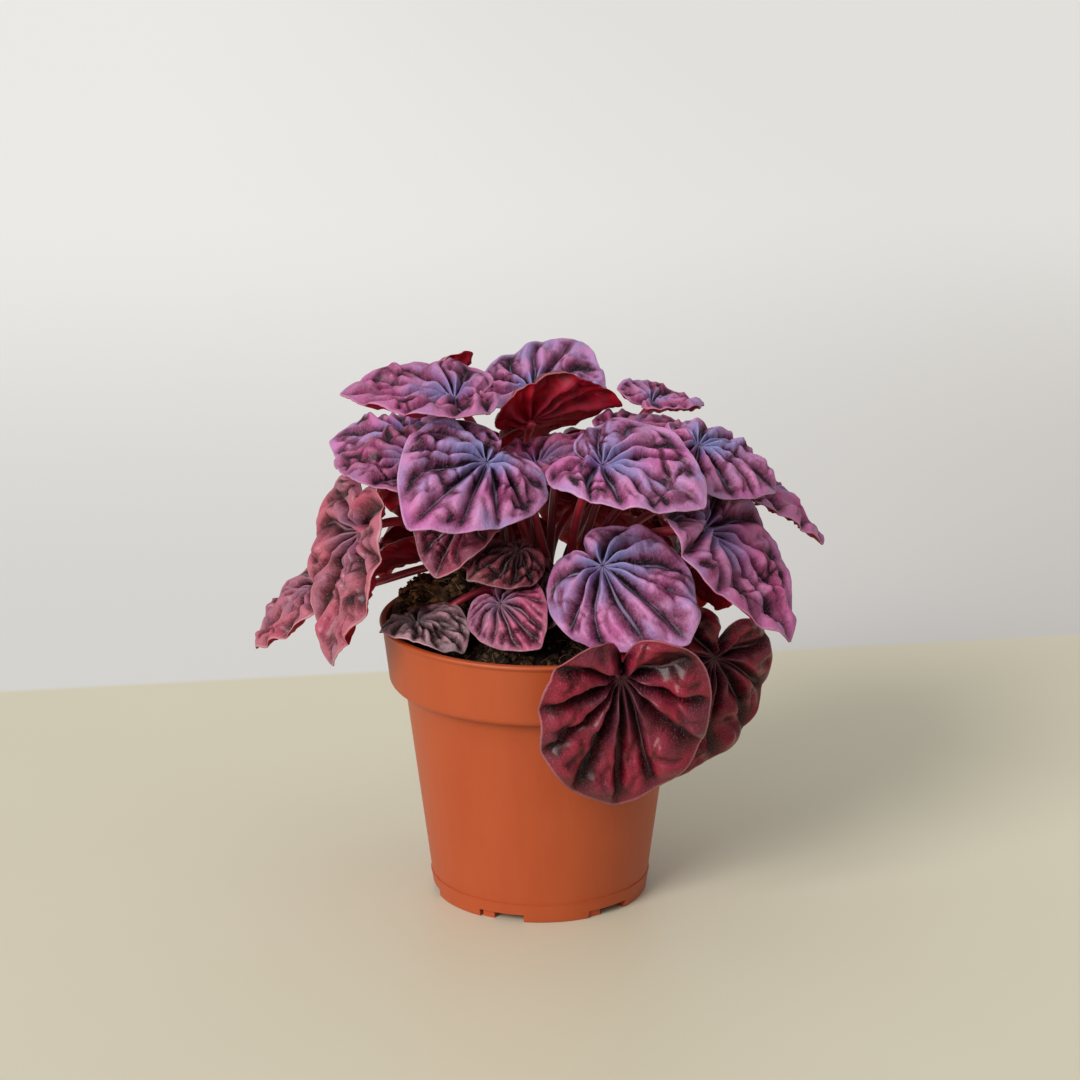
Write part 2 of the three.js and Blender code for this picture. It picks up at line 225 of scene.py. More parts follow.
def piece_of(name: str, mesh: Mesh, slot: str, *nodes: str) -> Piece:
    """Put a mesh into the scene as a piece of the object.

    Args:
        name: Name of the piece.
        mesh: Its mesh, with its place in it.
        slot: The material slot that its finish stands for; not used.
        nodes: Nodes of the frame that it replaces.

    Returns:
        The piece, riding on the object's one body.
    """
    piece = placed(name, mesh)
    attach(piece, BODY)
    if nodes:
        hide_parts(*nodes)
    LOG.info("%s: %d faces", name, len(mesh.polygons))
    return piece


def ring_faces(rings: int, count: int, start: int = 0) -> list[tuple[int, ...]]:
    """List the quads between closed rings of points that follow each other.

    Args:
        rings: Number of rings.
        count: Points in each ring.
        start: Index of the first ring's first point.

    Returns:
        Quads that face away from the rings' axis where rings run up and points anticlockwise.
    """
    faces = []
    for ring in range(rings - 1):
        low = start + ring * count
        for j in range(count):
            k = (j + 1) % count
            faces.append((low + j, low + k, low + count + k, low + count + j))
    return faces


def spun(profile: Sequence[tuple[float, float]], sides: int) -> Patch:
    """Spin a profile round the Z axis into a closed body.

    Args:
        profile: Radius and height of each point, from the axis below to the axis above.
        sides: Number of sides.

    Returns:
        The closed patch.
    """
    turn = np.arange(sides) * 2 * math.pi / sides
    rings = [
        np.column_stack((radius * np.cos(turn), radius * np.sin(turn), np.full(sides, height)))
        for radius, height in profile[1:-1]
    ]
    ends = np.array([[0, 0, profile[0][1]], [0, 0, profile[-1][1]]])
    points = np.concatenate((*rings, ends))
    faces = ring_faces(len(rings), sides)
    below, above = len(points) - 2, len(points) - 1
    last = (len(rings) - 1) * sides
    for j in range(sides):
        k = (j + 1) % sides
        faces.append((below, k, j))
        faces.append((above, last + j, last + k))
    return Patch(points, faces)


def arc(centre: tuple[float, float], radius: float, start: float, end: float, steps: int) -> list:
    """List the points of an arc in a profile, from start to end in degrees."""
    turns = np.radians(np.linspace(start, end, steps + 1))
    return [(centre[0] + radius * math.cos(t), centre[1] + radius * math.sin(t)) for t in turns]


# Node trees


class Graph:
    """Short ways to add and join the nodes of one tree."""

    def __init__(self, tree: Tree) -> None:
        """Keep the tree that the nodes go into."""
        self.tree = tree

    def add(self, kind: str, inputs: dict | None = None, **settings) -> Node:
        """Add a node.

        Args:
            kind: The node's type.
            inputs: Values or sockets for its inputs, by name or index.
            settings: The node's own settings.

        Returns:
            The node.
        """
        node = self.tree.nodes.new(kind)
        for name, value in settings.items():
            setattr(node, name, value)
        for key, value in (inputs or {}).items():
            self.feed(node.inputs[key], value)
        return node

    def out(self, kind: str, output: object, inputs: dict | None = None, **settings) -> Socket:
        """Add a node and return one of its outputs."""
        return self.add(kind, inputs, **settings).outputs[output]

    def feed(self, socket: Socket, value: object) -> None:
        """Link a socket to an input, or set the input's value."""
        if isinstance(value, Socket):
            self.tree.links.new(value, socket)
        else:
            socket.default_value = value

    def math(self, operation: str, *values: object) -> Socket:
        """Add a Math node and return its result."""
        return self.out("ShaderNodeMath", 0, dict(enumerate(values)), operation=operation)

    def step(self, low: object, high: object, value: Socket, start: float = 0.0,
             end: float = 1.0) -> Socket:
        """Add a smooth step from start at low to end at high."""
        inputs = {"Value": value, "From Min": low, "From Max": high, "To Min": start, "To Max": end}
        return self.out("ShaderNodeMapRange", "Result", inputs, interpolation_type="SMOOTHSTEP")

    def mix(self, share: object, low: object, high: object, blend: str = "MIX") -> Socket:
        """Mix two colours by a share and return the colour."""
        inputs = {0: share, 6: low, 7: high}
        return self.out("ShaderNodeMix", 2, inputs, data_type="RGBA", blend_type=blend)

    def noise(self, vector: Socket, scale: object, detail: float = 3.0,
              roughness: float = 0.5) -> Socket:
        """Add a noise texture and return its value."""
        inputs = {"Vector": vector, "Scale": scale, "Detail": detail, "Roughness": roughness}
        return self.out("ShaderNodeTexNoise", 0, inputs)

    def end(self, result: Node, name: str, geometry: Socket) -> None:
        """End a Geometry Nodes tree in plain geometry, whose material its mesh gets later."""
        realized = self.out("GeometryNodeRealizeInstances", "Geometry", {"Geometry": geometry})
        dressed = self.out("GeometryNodeSetMaterial", "Geometry", {"Geometry": realized})
        self.feed(result.inputs[name], dressed)


def new_group(name: str, kind: str, inputs: dict[str, object], outputs: dict[str, str]) -> tuple:
    """Start a node group with named sockets.

    Args:
        name: Name of the group.
        kind: Type of its tree.
        inputs: Each input's default number, or its kind where it has none.
        outputs: Each output's kind.

    Returns:
        The graph, the input node's sockets and the output node.
    """
    tree = bpy.data.node_groups.new(name, kind)
    for label, value in inputs.items():
        sort = value if isinstance(value, str) else "Int" if isinstance(value, int) else "Float"
        socket = tree.interface.new_socket(label, in_out="INPUT", socket_type=f"NodeSocket{sort}")
        if not isinstance(value, str):
            socket.default_value = value
    for label, sort in outputs.items():
        tree.interface.new_socket(label, in_out="OUTPUT", socket_type=f"NodeSocket{sort}")
    graph = Graph(tree)
    given = graph.add("NodeGroupInput").outputs
    result = graph.add("NodeGroupOutput")
    return graph, given, result


def grown(tree: Tree, base: Mesh, settings: dict[str, object]) -> Mesh:
    """Run a Geometry Nodes tree on a mesh and return the result as a plain mesh.

    Args:
        tree: The tree.
        base: The mesh that it starts from.
        settings: Values of its named inputs.

    Returns:
        The new mesh.
    """
    holder = placed("holder", base)
    modifier = holder.modifiers.new("grown", "NODES")
    modifier.node_group = tree
    for item in tree.interface.items_tree:
        if item.in_out == "INPUT" and item.name in settings:
            modifier[item.identifier] = settings[item.name]
    graph = bpy.context.evaluated_depsgraph_get()
    mesh = bpy.data.meshes.new_from_object(holder.evaluated_get(graph))
    holder.modifiers.remove(modifier)
    bpy.data.objects.remove(holder)
    return mesh


# Materials


class Effects:
    """The shader node groups that the materials share."""

    def __init__(self) -> None:
        """Build each group once."""
        self.grain = self._grain()
        self.leaf_tone = self._leaf_tone()
        self.mottle = self._mottle()

    @staticmethod
    def _grain() -> Tree:
        """Build a fine grain: a height for bump and a mask of raised specks."""
        inputs = {"Vector": "Vector", "Scale": 1000.0}
        outputs = {"Height": "Float", "Specks": "Float"}
        graph, given, result = new_group("grain", "ShaderNodeTree", inputs, outputs)
        cell_height, raised = -0.6, (0.56, 0.72)
        fine = graph.noise(given["Vector"], given["Scale"], 2.0)
        inputs = {"Vector": given["Vector"], "Scale": given["Scale"]}
        cells = graph.out("ShaderNodeTexVoronoi", "Distance", inputs)
        graph.feed(result.inputs["Height"], graph.math("MULTIPLY_ADD", cells, cell_height, fine))
        graph.feed(result.inputs["Specks"], graph.step(*raised, fine))
        return graph.tree

    @staticmethod
    def _mottle() -> Tree:
        """Build a soft mottle that shifts a colour towards a second one."""
        inputs = {"Vector": "Vector", "Scale": 100.0, "Colour": "Color", "Second Colour": "Color",
                  "Amount": 0.5}
        graph, given, result = new_group("mottle", "ShaderNodeTree", inputs, {"Colour": "Color"})
        patches = (0.35, 0.68)
        mask = graph.step(*patches, graph.noise(given["Vector"], given["Scale"], 4.0, 0.6))
        share = graph.math("MULTIPLY", mask, given["Amount"])
        mottled = graph.mix(share, given["Colour"], given["Second Colour"])
        graph.feed(result.inputs["Colour"], mottled)
        return graph.tree

    @staticmethod
    def _leaf_tone() -> Tree:
        """Build a blade's colour from its height between the veins and its distance from the hub.

        A pair of numbers is where a change starts and where it is complete: in height from folds to
        ridges, in share of the way out from the hub, or in the value of a noise. The folds'
        darkness is partly the leaf's own colour and partly painted shade, and the blue-grey paling
        near the hub and in patches is painted reflection.
        """
        inputs = {"Vector": "Vector", "Height": 0.5, "Share": 0.5, "Lane": 0.5, "Lane Width": 0.05,
                  "Vein": 0.5, "Depth": 0.0}
        inputs |= {name: "Color" for name in ("Crest", "Flank", "Valley", "Hub", "Margin", "Rim")}
        outputs = {"Colour": "Color", "Roughness": "Float"}
        graph, given, result = new_group("leaf_tone", "ShaderNodeTree", inputs, outputs)
        share, height = given["Share"], given["Height"]
        for scale, roughness, amount in ((230.0, 0.6, 0.75), (1100.0, 0.65, 0.45)):
            uneven = graph.noise(given["Vector"], scale, 3.0, roughness)
            height = graph.math("MULTIPLY_ADD", graph.math("SUBTRACT", uneven, 0.5), amount, height)

        # Folds darker than ridges, more so near the hub: partly own colour, partly painted shade.
        hub_zone, hub_shade_drop = (0.1, 0.6), -0.2
        valley_to_flank, flank_to_crest = (0.08, 0.46), (0.42, 0.86)
        near_hub = graph.step(*hub_zone, share, 1.0, 0.0)
        shaded_height = graph.math("MULTIPLY_ADD", near_hub, hub_shade_drop, height)
        tone = graph.mix(graph.step(*valley_to_flank, shaded_height), given["Valley"], given["Flank"])
        tone = graph.mix(graph.step(*flank_to_crest, shaded_height), tone, given["Crest"])
        # Painted reflection: near the hub the ridges pale towards the blue-grey hub colour.
        paling = graph.math("MULTIPLY", near_hub, graph.step(0.28, 0.78, height, 0.0, 0.85))
        tone = graph.mix(paling, tone, given["Hub"])

        margin_zone, rim_zone = (0.85, 1.0), (0.98, 1.0)
        on_ridges = graph.step(0.1, 0.6, height, 0.05, 0.45)
        smooth_band = graph.math("MULTIPLY", graph.step(*margin_zone, share), on_ridges)
        tone = graph.mix(smooth_band, tone, given["Margin"])

        # Painted reflection: blue-grey patches on the ridges. The rosy patches are the leaf's own.
        painted_sheen_zone, rosy_zone = (0.47, 0.66), (0.36, 0.5)
        wide = graph.noise(given["Vector"], 48.0, 2.0)
        on_ridges = graph.step(0.3, 0.7, height)
        painted_sheen = graph.math("MULTIPLY", graph.step(*painted_sheen_zone, wide, 0.0, 0.55), on_ridges)
        tone = graph.mix(painted_sheen, tone, given["Hub"])
        rosy = graph.mix(1.0, tone, colour("FAC2E2"), "MULTIPLY")
        tone = graph.mix(graph.step(*rosy_zone, wide, 0.75, 0.0), tone, rosy)
        # Depth turns the colour towards wine: partly the leaf's own tone, partly painted shade.
        wine = graph.mix(1.0, tone, colour("C28A90"), "MULTIPLY")
        tone = graph.mix(given["Depth"], tone, wine)

        nearest = graph.math("ROUND", given["Lane"])
        beside = graph.math("ABSOLUTE", graph.math("SUBTRACT", given["Lane"], nearest))
        inner = graph.math("MULTIPLY", given["Lane Width"], 0.4)
        line = graph.step(inner, given["Lane Width"], beside, 1.0, 0.0)
        line = graph.math("MULTIPLY", line, given["Vein"])
        tone = graph.mix(line, tone, graph.mix(0.4, given["Hub"], given["Rim"]))
        tone = graph.mix(graph.step(*rim_zone, share, 0.0, 0.35), tone, given["Rim"])
        graph.feed(result.inputs["Colour"], tone)
        graph.feed(result.inputs["Roughness"], graph.step(0.1, 0.8, height, 0.62, 0.4))
        return graph.tree


class Finish:
    """One material under construction, with its shader."""

    def __init__(self, name: str, effects: Effects, **shader: object) -> None:
        """Start the material.

        Args:
            name: Name of the material.
            effects: The shared groups.
            shader: Values that are the same all over, by socket name with _ for a space.
        """
        self.material = bpy.data.materials.new(name)
        self.material.use_nodes = True
        self.effects = effects
        self.graph = Graph(self.material.node_tree)
        self.shader = self.material.node_tree.nodes["Principled BSDF"]
        for key, value in shader.items():
            self.shader.inputs[key.replace("_", " ")].default_value = value

    def place(self) -> Socket:
        """Return the point on the object, in metres."""
        return self.graph.out("ShaderNodeTexCoord", "Object")

    def flat(self) -> Socket:
        """Return the point on the flat leaf, in metres."""
        return self.graph.out("ShaderNodeUVMap", "UV", uv_map="flat")

    def value(self, name: str) -> Socket:
        """Return one of the mesh's own values."""
        return self.graph.out("ShaderNodeAttribute", "Fac", attribute_name=name)

    def group(self, tree: Tree, inputs: dict[str, object]) -> Node:
        """Place a shared group with this material's own values."""
        return self.graph.add("ShaderNodeGroup", inputs, node_tree=tree)

    def paint(self, socket: str, value: Socket) -> None:
        """Link a varying value to the shader."""
        self.graph.feed(self.shader.inputs[socket], value)

    def mottled(self, vector: Socket, scale: float, first: object, second: str,
                amount: float) -> Socket:
        """Return a colour that shifts softly towards a second one."""
        inputs = {"Vector": vector, "Scale": scale, "Colour": first,
                  "Second Colour": colour(second), "Amount": amount}
        return self.group(self.effects.mottle, inputs).outputs["Colour"]

    def grained(self, vector: Socket, scale: float, depth: float, smooth: float,
                dull: float) -> None:
        """Give the surface a fine grain.

        Args:
            vector: The point.
            scale: Grains in a metre.
            depth: Depth of the grain, in millimetres.
            smooth: Roughness at the bottom of the grain.
            dull: Roughness at its top.
        """
        grain = self.group(self.effects.grain, {"Vector": vector, "Scale": scale}).outputs["Height"]
        self.paint("Roughness", self.graph.step(0.2, 0.8, grain, smooth, dull))
        self.paint("Normal", self.bump(grain, depth))

    def bump(self, height: Socket, depth: float, under: Socket | None = None) -> Socket:
        """Turn a height into a normal.

        Args:
            height: Height, about 0 to 1.
            depth: How deep it is, in millimetres.
            under: Normal of the relief that it lies on.

        Returns:
            The normal.
        """
        inputs = {"Height": height, "Distance": depth * MM, "Strength": 1.0}
        if under is not None:
            inputs["Normal"] = under
        return self.graph.out("ShaderNodeBump", "Normal", inputs)


# Leaves


@dataclass(frozen=True)
class LeafFinish:
    """The finish of one kind of blade: its slot, its colours, its gloss and its grain's depth."""

    slot: str
    crest: str
    flank: str
    valley: str
    hub: str
    margin: str
    rim: str
    coat: float = 0.3
    grain: float = 0.13

    def dressed(self, name: str, effects: Effects) -> Material:
        """Make the material of the blade's upper face.

        Args:
            name: Name of the kind of blade.
            effects: The shared groups.

        Returns:
            The material.
        """
        finish = Finish(f"{name}_blade", effects, Coat_Weight=self.coat, Coat_Roughness=0.27,
                        Specular_IOR_Level=0.3, Specular_Tint=colour(self.rim))
        flat = finish.flat()
        tones = {"Crest": self.crest, "Flank": self.flank, "Valley": self.valley, "Hub": self.hub,
                 "Margin": self.margin, "Rim": self.rim}
        inputs: dict[str, object] = {key: colour(code) for key, code in tones.items()}
        for key in ("Height", "Share", "Lane", "Lane Width", "Vein", "Depth"):
            inputs[key] = finish.value(key.lower().replace(" ", "_"))
        inputs["Vector"] = flat
        tone = finish.group(effects.leaf_tone, inputs)
        grain = finish.group(effects.grain, {"Vector": flat, "Scale": 2400.0})
        # Pale specks on the raised grain: partly the leaf's own speckle, partly painted glints.
        specks = finish.graph.math("MULTIPLY", grain.outputs["Specks"], 0.22)
        speckle_and_glint = finish.graph.mix(specks, tone.outputs["Colour"], colour(self.rim))
        finish.paint("Base Color", speckle_and_glint)
        finish.paint("Roughness", tone.outputs["Roughness"])
        creases = finish.graph.noise(flat, 420.0, 4.0, 0.62)
        relief = finish.bump(creases, 0.7)
        finish.paint("Normal", finish.bump(grain.outputs["Height"], self.grain, relief))
        return finish.material


class Tint(Enum):
    """The blades' finishes; the paler ones are partly painted light and SHADE is painted shade."""

    LILAC = LeafFinish(
        "leaf_lilac", "BE7AA8", "7E4062", "200E1C", "7882B6", "AC82B4", "C9A6BC", 0.16)
    MAGENTA = LeafFinish(
        "leaf_magenta", "BA719B", "843F62", "240E1A", "7F78AA", "AE6A9C", "C294AA", 0.16)
    ROSE = LeafFinish(
        "leaf_rose", "B25E6E", "682836", "200810", "8C6078", "A65A6C", "D6A8A8", 0.34)
    BLUSH = LeafFinish(
        "leaf_magenta", "B8607E", "702A46", "20060E", "90708E", "BC7490", "E0B4B8", 0.22)
    BURGUNDY = LeafFinish(
        "leaf_burgundy", "8A2236", "400810", "0C0006", "4C2836", "621E2C", "D09098", 0.34, 0.26)
    # Painted shade: a greyer copy of the blades for the low leaves in the plant's shade.
    SHADE = LeafFinish(
        "leaf_shade", "BC949C", "62464A", "1C0E10", "84787C", "A88890", "C4A8B0", 0.16)


# Degrees round from the tip, and how far the blade of unit length reaches from its hub there
OUTLINE = ((0, 0.74), (12, 0.665), (30, 0.58), (55, 0.505), (85, 0.445),
           (115, 0.405), (140, 0.345), (157, 0.285), (170, 0.2), (180, 0.07))
VEINS = (0, 26, 56, 90, 128, 180)
VEIN_BEND = 0.24
VEIN_WIDTH = 0.42
HALF_WIDTH = 0.45
FOLD_WIDTH = 0.12
FOLD_GAIN = 1.25
CUP = 15.0
RIPPLE = 0.065
RIDGE_STRAY = 6.0
BLADE_THICK = 0.95
MARGIN_THICK = 0.5
LEAF_PITCH = 137.0
QUILT_PITCH = 6.4
QUILT_DEPTH = 1.5
PETIOLE_RADIUS = 1.4
PETIOLE_LEAN = 0.3
LEAVING_REACH = 0.38
LOWER_BOW = 0.4
ARRIVING_REACH = 0.3
ARRIVING_DROP = 0.75
ARRIVING_BACK = 0.66
HUB_DEPTH = 1.7
ROOT_LOW = 96.0
ROOT_TOP = 106.0
ROOT_PITCH = 3.0
ROOT_START = 0.7
FIRST_ROOT = 7
GOLDEN_ANGLE = math.radians(137.508)


class Uneven(Enum):
    """What strays on a blade: its wavelength, and the number added to the leaf's own seed."""

    RIDGE_LINE = (13, 100)
    CREASE = (11, 200)
    FORK = (16, 250)
    SWELL = (13, 300)
    CRINKLE = (4, 400)
    MARGIN = (6, 500)
    QUILTED_PARTS = (24, 600)
    PUFF = (12, 820)


def outline_reach(degrees: Array) -> Array:
    """Follow the outline with smooth curves between its points.

    Args:
        degrees: Angles round from the tip.

    Returns:
        Reach from the hub, as a share of the leaf's length.
    """
    angle = np.abs(degrees)
    at = np.array([point[0] for point in OUTLINE], dtype=float)
    reach = np.array([point[1] for point in OUTLINE])
    i = np.clip(np.searchsorted(at, angle, side="right") - 1, 0, len(at) - 2)
    before, after = np.maximum(i - 1, 0), np.minimum(i + 2, len(at) - 1)
    span = at[i + 1] - at[i]
    t = (angle - at[i]) / span
    start = (reach[i + 1] - reach[before]) / (at[i + 1] - at[before]) * span
    end = (reach[after] - reach[i]) / (at[after] - at[i]) * span
    return ((2 * t**3 - 3 * t**2 + 1) * reach[i] + (t**3 - 2 * t**2 + t) * start
            + (3 * t**2 - 2 * t**3) * reach[i + 1] + (t**3 - t**2) * end)


@dataclass
class Leaf:
    """One leaf: the quilted blade, and the petiole that holds it at its hub.

    Its place is its number in the spiral of the petioles' feet, and the seed of its unevenness. The
    hub, turn, length and bend are the frame's. A turn is heading, droop and roll, and a bend is the
    arch along the blade and the fold along its midrib, all in degrees. The bow sets the petiole's
    middle aside. Quilt is how strongly the ridges are wrinkled across, depth how far the colour
    goes towards wine, partly the leaf's own tone and partly painted shade on leaves deep in the
    plant, and blunt how much rounder the tip is than the others'. Sides and rings say how fine the
    blade's mesh is.
    """

    name: str
    place: int
    hub: Triple
    turn: Triple
    length: float
    bend: tuple[float, float]
    bow: tuple[float, float]
    tint: Tint
    quilt: float = 0.95
    depth: float = 0.0
    blunt: float = 0.0
    sides: int = 144
    rings: int = 54

    def axes(self) -> Array:
        """Return the directions along, across and up from the blade, as rows."""
        heading, droop, roll = (math.radians(turn) for turn in self.turn)
        turned = Matrix.Rotation(heading, 3, "Z") @ Matrix.Rotation(droop, 3, "Y")
        return np.array(turned @ Matrix.Rotation(roll, 3, "X")).T

    def uneven(self, kind: Uneven, x: Array, y: Array) -> Array:
        """Return this leaf's own waves of one kind."""
        period, number = kind.value
        return waves(x, y, period, self.place + number)

    def relief(self, station: Array, share: Array, x: Array, y: Array) -> tuple:
        """Work out the ridges between the veins and the quilting across them.

        Args:
            station: Degrees round the hub.
            share: Share of the way out to the margin.
            x: Place along the flat leaf, in millimetres.
            y: Place across it.

        Returns:
            The lift in millimetres, and the values that the finish reads.
        """
        side = np.sign(station)
        distance = np.hypot(x, y)
        opening, beside_midrib, last_angle = (0.1, 0.5), (2, 20), 179.9
        out = smoothstep(*opening, share)
        way_out, way_round = share * 15, station / 6
        stray = RIDGE_STRAY * self.uneven(Uneven.RIDGE_LINE, way_out, way_round) * out
        angle = np.abs(station + stray * smoothstep(*beside_midrib, np.abs(station)))
        angle = np.clip(angle, 0, last_angle)
        veins = np.array(VEINS, dtype=float)
        i = np.clip(np.searchsorted(veins, angle, side="right") - 1, 0, len(VEINS) - 2)
        t = np.clip((angle - veins[i]) / (veins[i + 1] - veins[i]), 0, 1)
        own = np.random.default_rng(self.place).uniform(-1, 1, (3, 2, len(VEINS)))
        lean, gain, reach = own[:, (side > 0).astype(int), i]

        # Ridges between the veins, each leaning and puffed up a little differently
        broadening, slim_at_hub, slim_loss, leaning = (0.1, 0.6), 2.2, 1.3, 0.45
        own_puff, local_puff, ridge_apart, side_apart = 0.2, 0.22, 11, 40
        slim = slim_at_hub - slim_loss * smoothstep(*broadening, share)
        ridge = np.sin(math.pi * t ** (2 ** (leaning * lean))) ** slim
        puffed = self.uneven(Uneven.PUFF, distance, ridge_apart * i + side_apart * side)
        puff = 1 + own_puff * gain + local_puff * out * puffed

        # A fold that splits each ridge near the margin
        forking, fork_stray, fork_width, fork_apart = (0.42, 0.72), 0.14, 0.12, 9.0
        split = t - 0.5 + fork_stray * self.uneven(Uneven.FORK, distance, i * fork_apart)
        fork = np.exp(-((split / fork_width) ** 2)) * smoothstep(*forking, share) * ridge

        # Creases across the ridges, in some parts of the blade more than in others
        quilting, margin_zone, smoothing, patchy = (0.16, 0.4), (0.86, 1.0), 0.8, (-0.8, 0.8)
        crease_stray, crease_width, lanes_apart, halves_apart, cell_seed = 0.3, 0.5, 1.4, 9, 700
        faded = smoothstep(*margin_zone, share)
        inside = smoothstep(*quilting, share) * (1 - smoothing * faded)
        strong = smoothstep(*patchy, self.uneven(Uneven.QUILTED_PARTS, x, y))
        across = distance / QUILT_PITCH + crease_stray * self.uneven(Uneven.CREASE, x, y)
        lane = lanes_apart * (i + t) + halves_apart * side
        crease = 1 - smoothstep(0.0, crease_width, borders(across, lane, self.place + cell_seed))
        quilt = self.quilt * strong * inside * crease

        # The lift of all these, fading towards the hub and the margin
        starting, ridge_tall, valley_deep, fork_deep = (0.02, 0.26), 1.5, 0.42, 0.5
        ridge_loss, valley_loss, valley_end, fork_end = 0.75, 0.7, (0.72, 1.0), (0.84, 1)
        swell_tall, crinkle_tall, on_flank = 0.4, 0.14, 0.25
        start = smoothstep(*starting, share)
        fade_from, fade_to = 0.79 + 0.09 * reach, 1.02 + 0.04 * reach
        rise = start * (1 - ridge_loss * smoothstep(fade_from, fade_to, share))
        sink = start * (1 - valley_loss * smoothstep(*valley_end, share))
        deep = RIPPLE * self.length
        lift = deep * (ridge_tall * ridge * puff * rise - valley_deep * sink)
        lift = lift - QUILT_DEPTH * quilt * (on_flank + (1 - on_flank) * ridge)
        lift -= fork_deep * deep * fork * (1 - smoothstep(*fork_end, share))
        swell, crinkle = self.uneven(Uneven.SWELL, x, y), self.uneven(Uneven.CRINKLE, x, y)
        lift += swell_tall * swell * out + crinkle_tall * crinkle * out

        # Creases and forks come out darker: partly the leaf's own colour, partly painted shade.
        dark_crease, dark_fork, middling = 0.8, 0.4, 0.5
        height = ridge * (1 - dark_crease * quilt) - dark_fork * fork * (1 - faded)
        height = height * (1 - middling * faded) + middling * faded
        sector = np.radians(veins[i + 1] - veins[i])
        pale, vein_start, vein_end, vein_back = 0.46, (0.02, 0.08), (0.5, 0.9), (150, 165)
        narrowest, widest = 0.1, 0.45
        vein = pale * smoothstep(*vein_start, share) * (1 - smoothstep(*vein_end, share))
        values = {
            "height": np.clip(height, 0, 1),
            "share": share,
            "lane": side * (i + t),
            "lane_width": np.clip(VEIN_WIDTH / np.maximum(distance * sector, narrowest), 0, widest),
            "vein": vein * (1 - smoothstep(*vein_back, np.abs(station))),
            "depth": np.full(np.shape(share), self.depth),
        }
        return lift, values

    def surface(self, station: Array, share: Array, depth: Array) -> tuple:
        """Place points of the blade.

        Args:
            station: Degrees round the hub.
            share: Share of the way out, where a little over 1 rounds the margin.
            depth: Depth under the upper face, in millimetres.

        Returns:
            The points, the flat leaf's points and the values that the finish reads.
        """
        arch, fold = self.bend
        angle = np.radians(station)
        direction = angle - VEIN_BEND * share * np.sin(angle)
        edge = np.degrees(angle - VEIN_BEND * np.sin(angle))
        notched, circle = 0.012, 10
        around = np.cos(angle) * circle, np.sin(angle) * circle
        uneven = 1 + notched * self.uneven(Uneven.MARGIN, *around)
        corner, corner_width, tip_loss, tip_width = 34, 17, 0.15, 10
        shoulder = np.exp(-(((np.abs(edge) - corner) / corner_width) ** 2))
        shoulder = shoulder - tip_loss * np.exp(-((edge / tip_width) ** 2))
        reach = share * self.length * outline_reach(edge) * uneven * (1 + self.blunt * shoulder)
        x, y = reach * np.cos(direction), reach * np.sin(direction)
        lift, values = self.relief(station, share, x, y)
        lift = lift - depth
        side = np.abs(y)
        rise = np.radians(fold) * FOLD_GAIN * side / (side + FOLD_WIDTH * self.length)
        rise = rise - 0.5 * math.radians(CUP) * side / (HALF_WIDTH * self.length)
        out = np.sign(y) * (side * np.cos(rise) - lift * np.sin(rise))
        up = side * np.sin(rise) + lift * np.cos(rise)
        curl = math.radians(arch) / self.length
        swing = curl * x
        forward = np.sin(swing) / curl + up * np.sin(swing)
        upward = (np.cos(swing) - 1) / curl + up * np.cos(swing)
        points = np.array(self.hub) + np.column_stack((forward, out, upward)) @ self.axes()
        return points, np.column_stack((x + LEAF_PITCH * self.place, y)), values

    def blade(self) -> list[Patch]:
        """Model the blade's upper face with its rounded margin, and its coarser lower face."""
        stations = -180 + 360 * (np.arange(self.sides) + 0.5) / self.sides
        rounding, crowding, thinning = 0.35, 0.92, (0.8, 1)
        overhang = 1 + rounding * MARGIN_THICK / (HALF_WIDTH * self.length)
        patches = []
        for finish, rings in enumerate((self.rings, self.rings // 2)):
            shares = np.linspace(0, 1, rings + 1)[1:] ** crowding
            thick = BLADE_THICK + (MARGIN_THICK - BLADE_THICK) * smoothstep(*thinning, shares)
            depths = np.append(thick * finish, MARGIN_THICK / 2)
            share, station = np.meshgrid(np.append(shares, overhang), stations, indexing="ij")
            points, flat, values = self.surface(
                np.append(0.0, station.ravel()), np.append(0.0, share.ravel()),
                np.append(BLADE_THICK * finish, np.repeat(depths, self.sides)),
            )
            faces = [(0, 1 + j, 1 + (j + 1) % self.sides) for j in range(self.sides)]
            faces += [(b, a, d, c) for a, b, c, d in ring_faces(rings + 1, self.sides, 1)]
            if finish:
                faces = [face[::-1] for face in faces]
            patches.append(Patch(points, faces, finish, values, flat))
        return patches

    def petiole_path(self) -> Array:
        """Follow the petiole from its foot in the peat to the hub, in millimetres."""
        along, _, up = self.axes()
        straight_steps, curved_steps, into_blade = 6, 36, 0.8
        number = self.place + FIRST_ROOT
        radius = ROOT_PITCH * math.sqrt(number + ROOT_START)
        angle = number * GOLDEN_ANGLE
        foot = np.array([radius * math.cos(angle), radius * math.sin(angle), ROOT_LOW])
        top = np.array([foot[0], foot[1], ROOT_TOP])
        hub = np.array(self.hub) - HUB_DEPTH * up
        distance = np.linalg.norm(hub - top)
        bow = np.array([*self.bow, 0.0])
        outward = (hub - top) * [1, 1, 0] / distance
        leaving = np.array([0, 0, 1]) + PETIOLE_LEAN * outward
        arriving = -ARRIVING_DROP * up - ARRIVING_BACK * along
        first = top + leaving * LEAVING_REACH * distance + LOWER_BOW * bow
        second = hub + arriving * ARRIVING_REACH * distance + bow
        t = np.linspace(0, 1, curved_steps)[:, None]
        rest = 1 - t
        curve = rest**3 * top + 3 * rest**2 * t * first + 3 * rest * t**2 * second + t**3 * hub
        straight = foot + (top - foot) * np.linspace(0, 1, straight_steps)[:-1, None]
        return np.concatenate((straight, curve, (hub + into_blade * up)[None, :]))

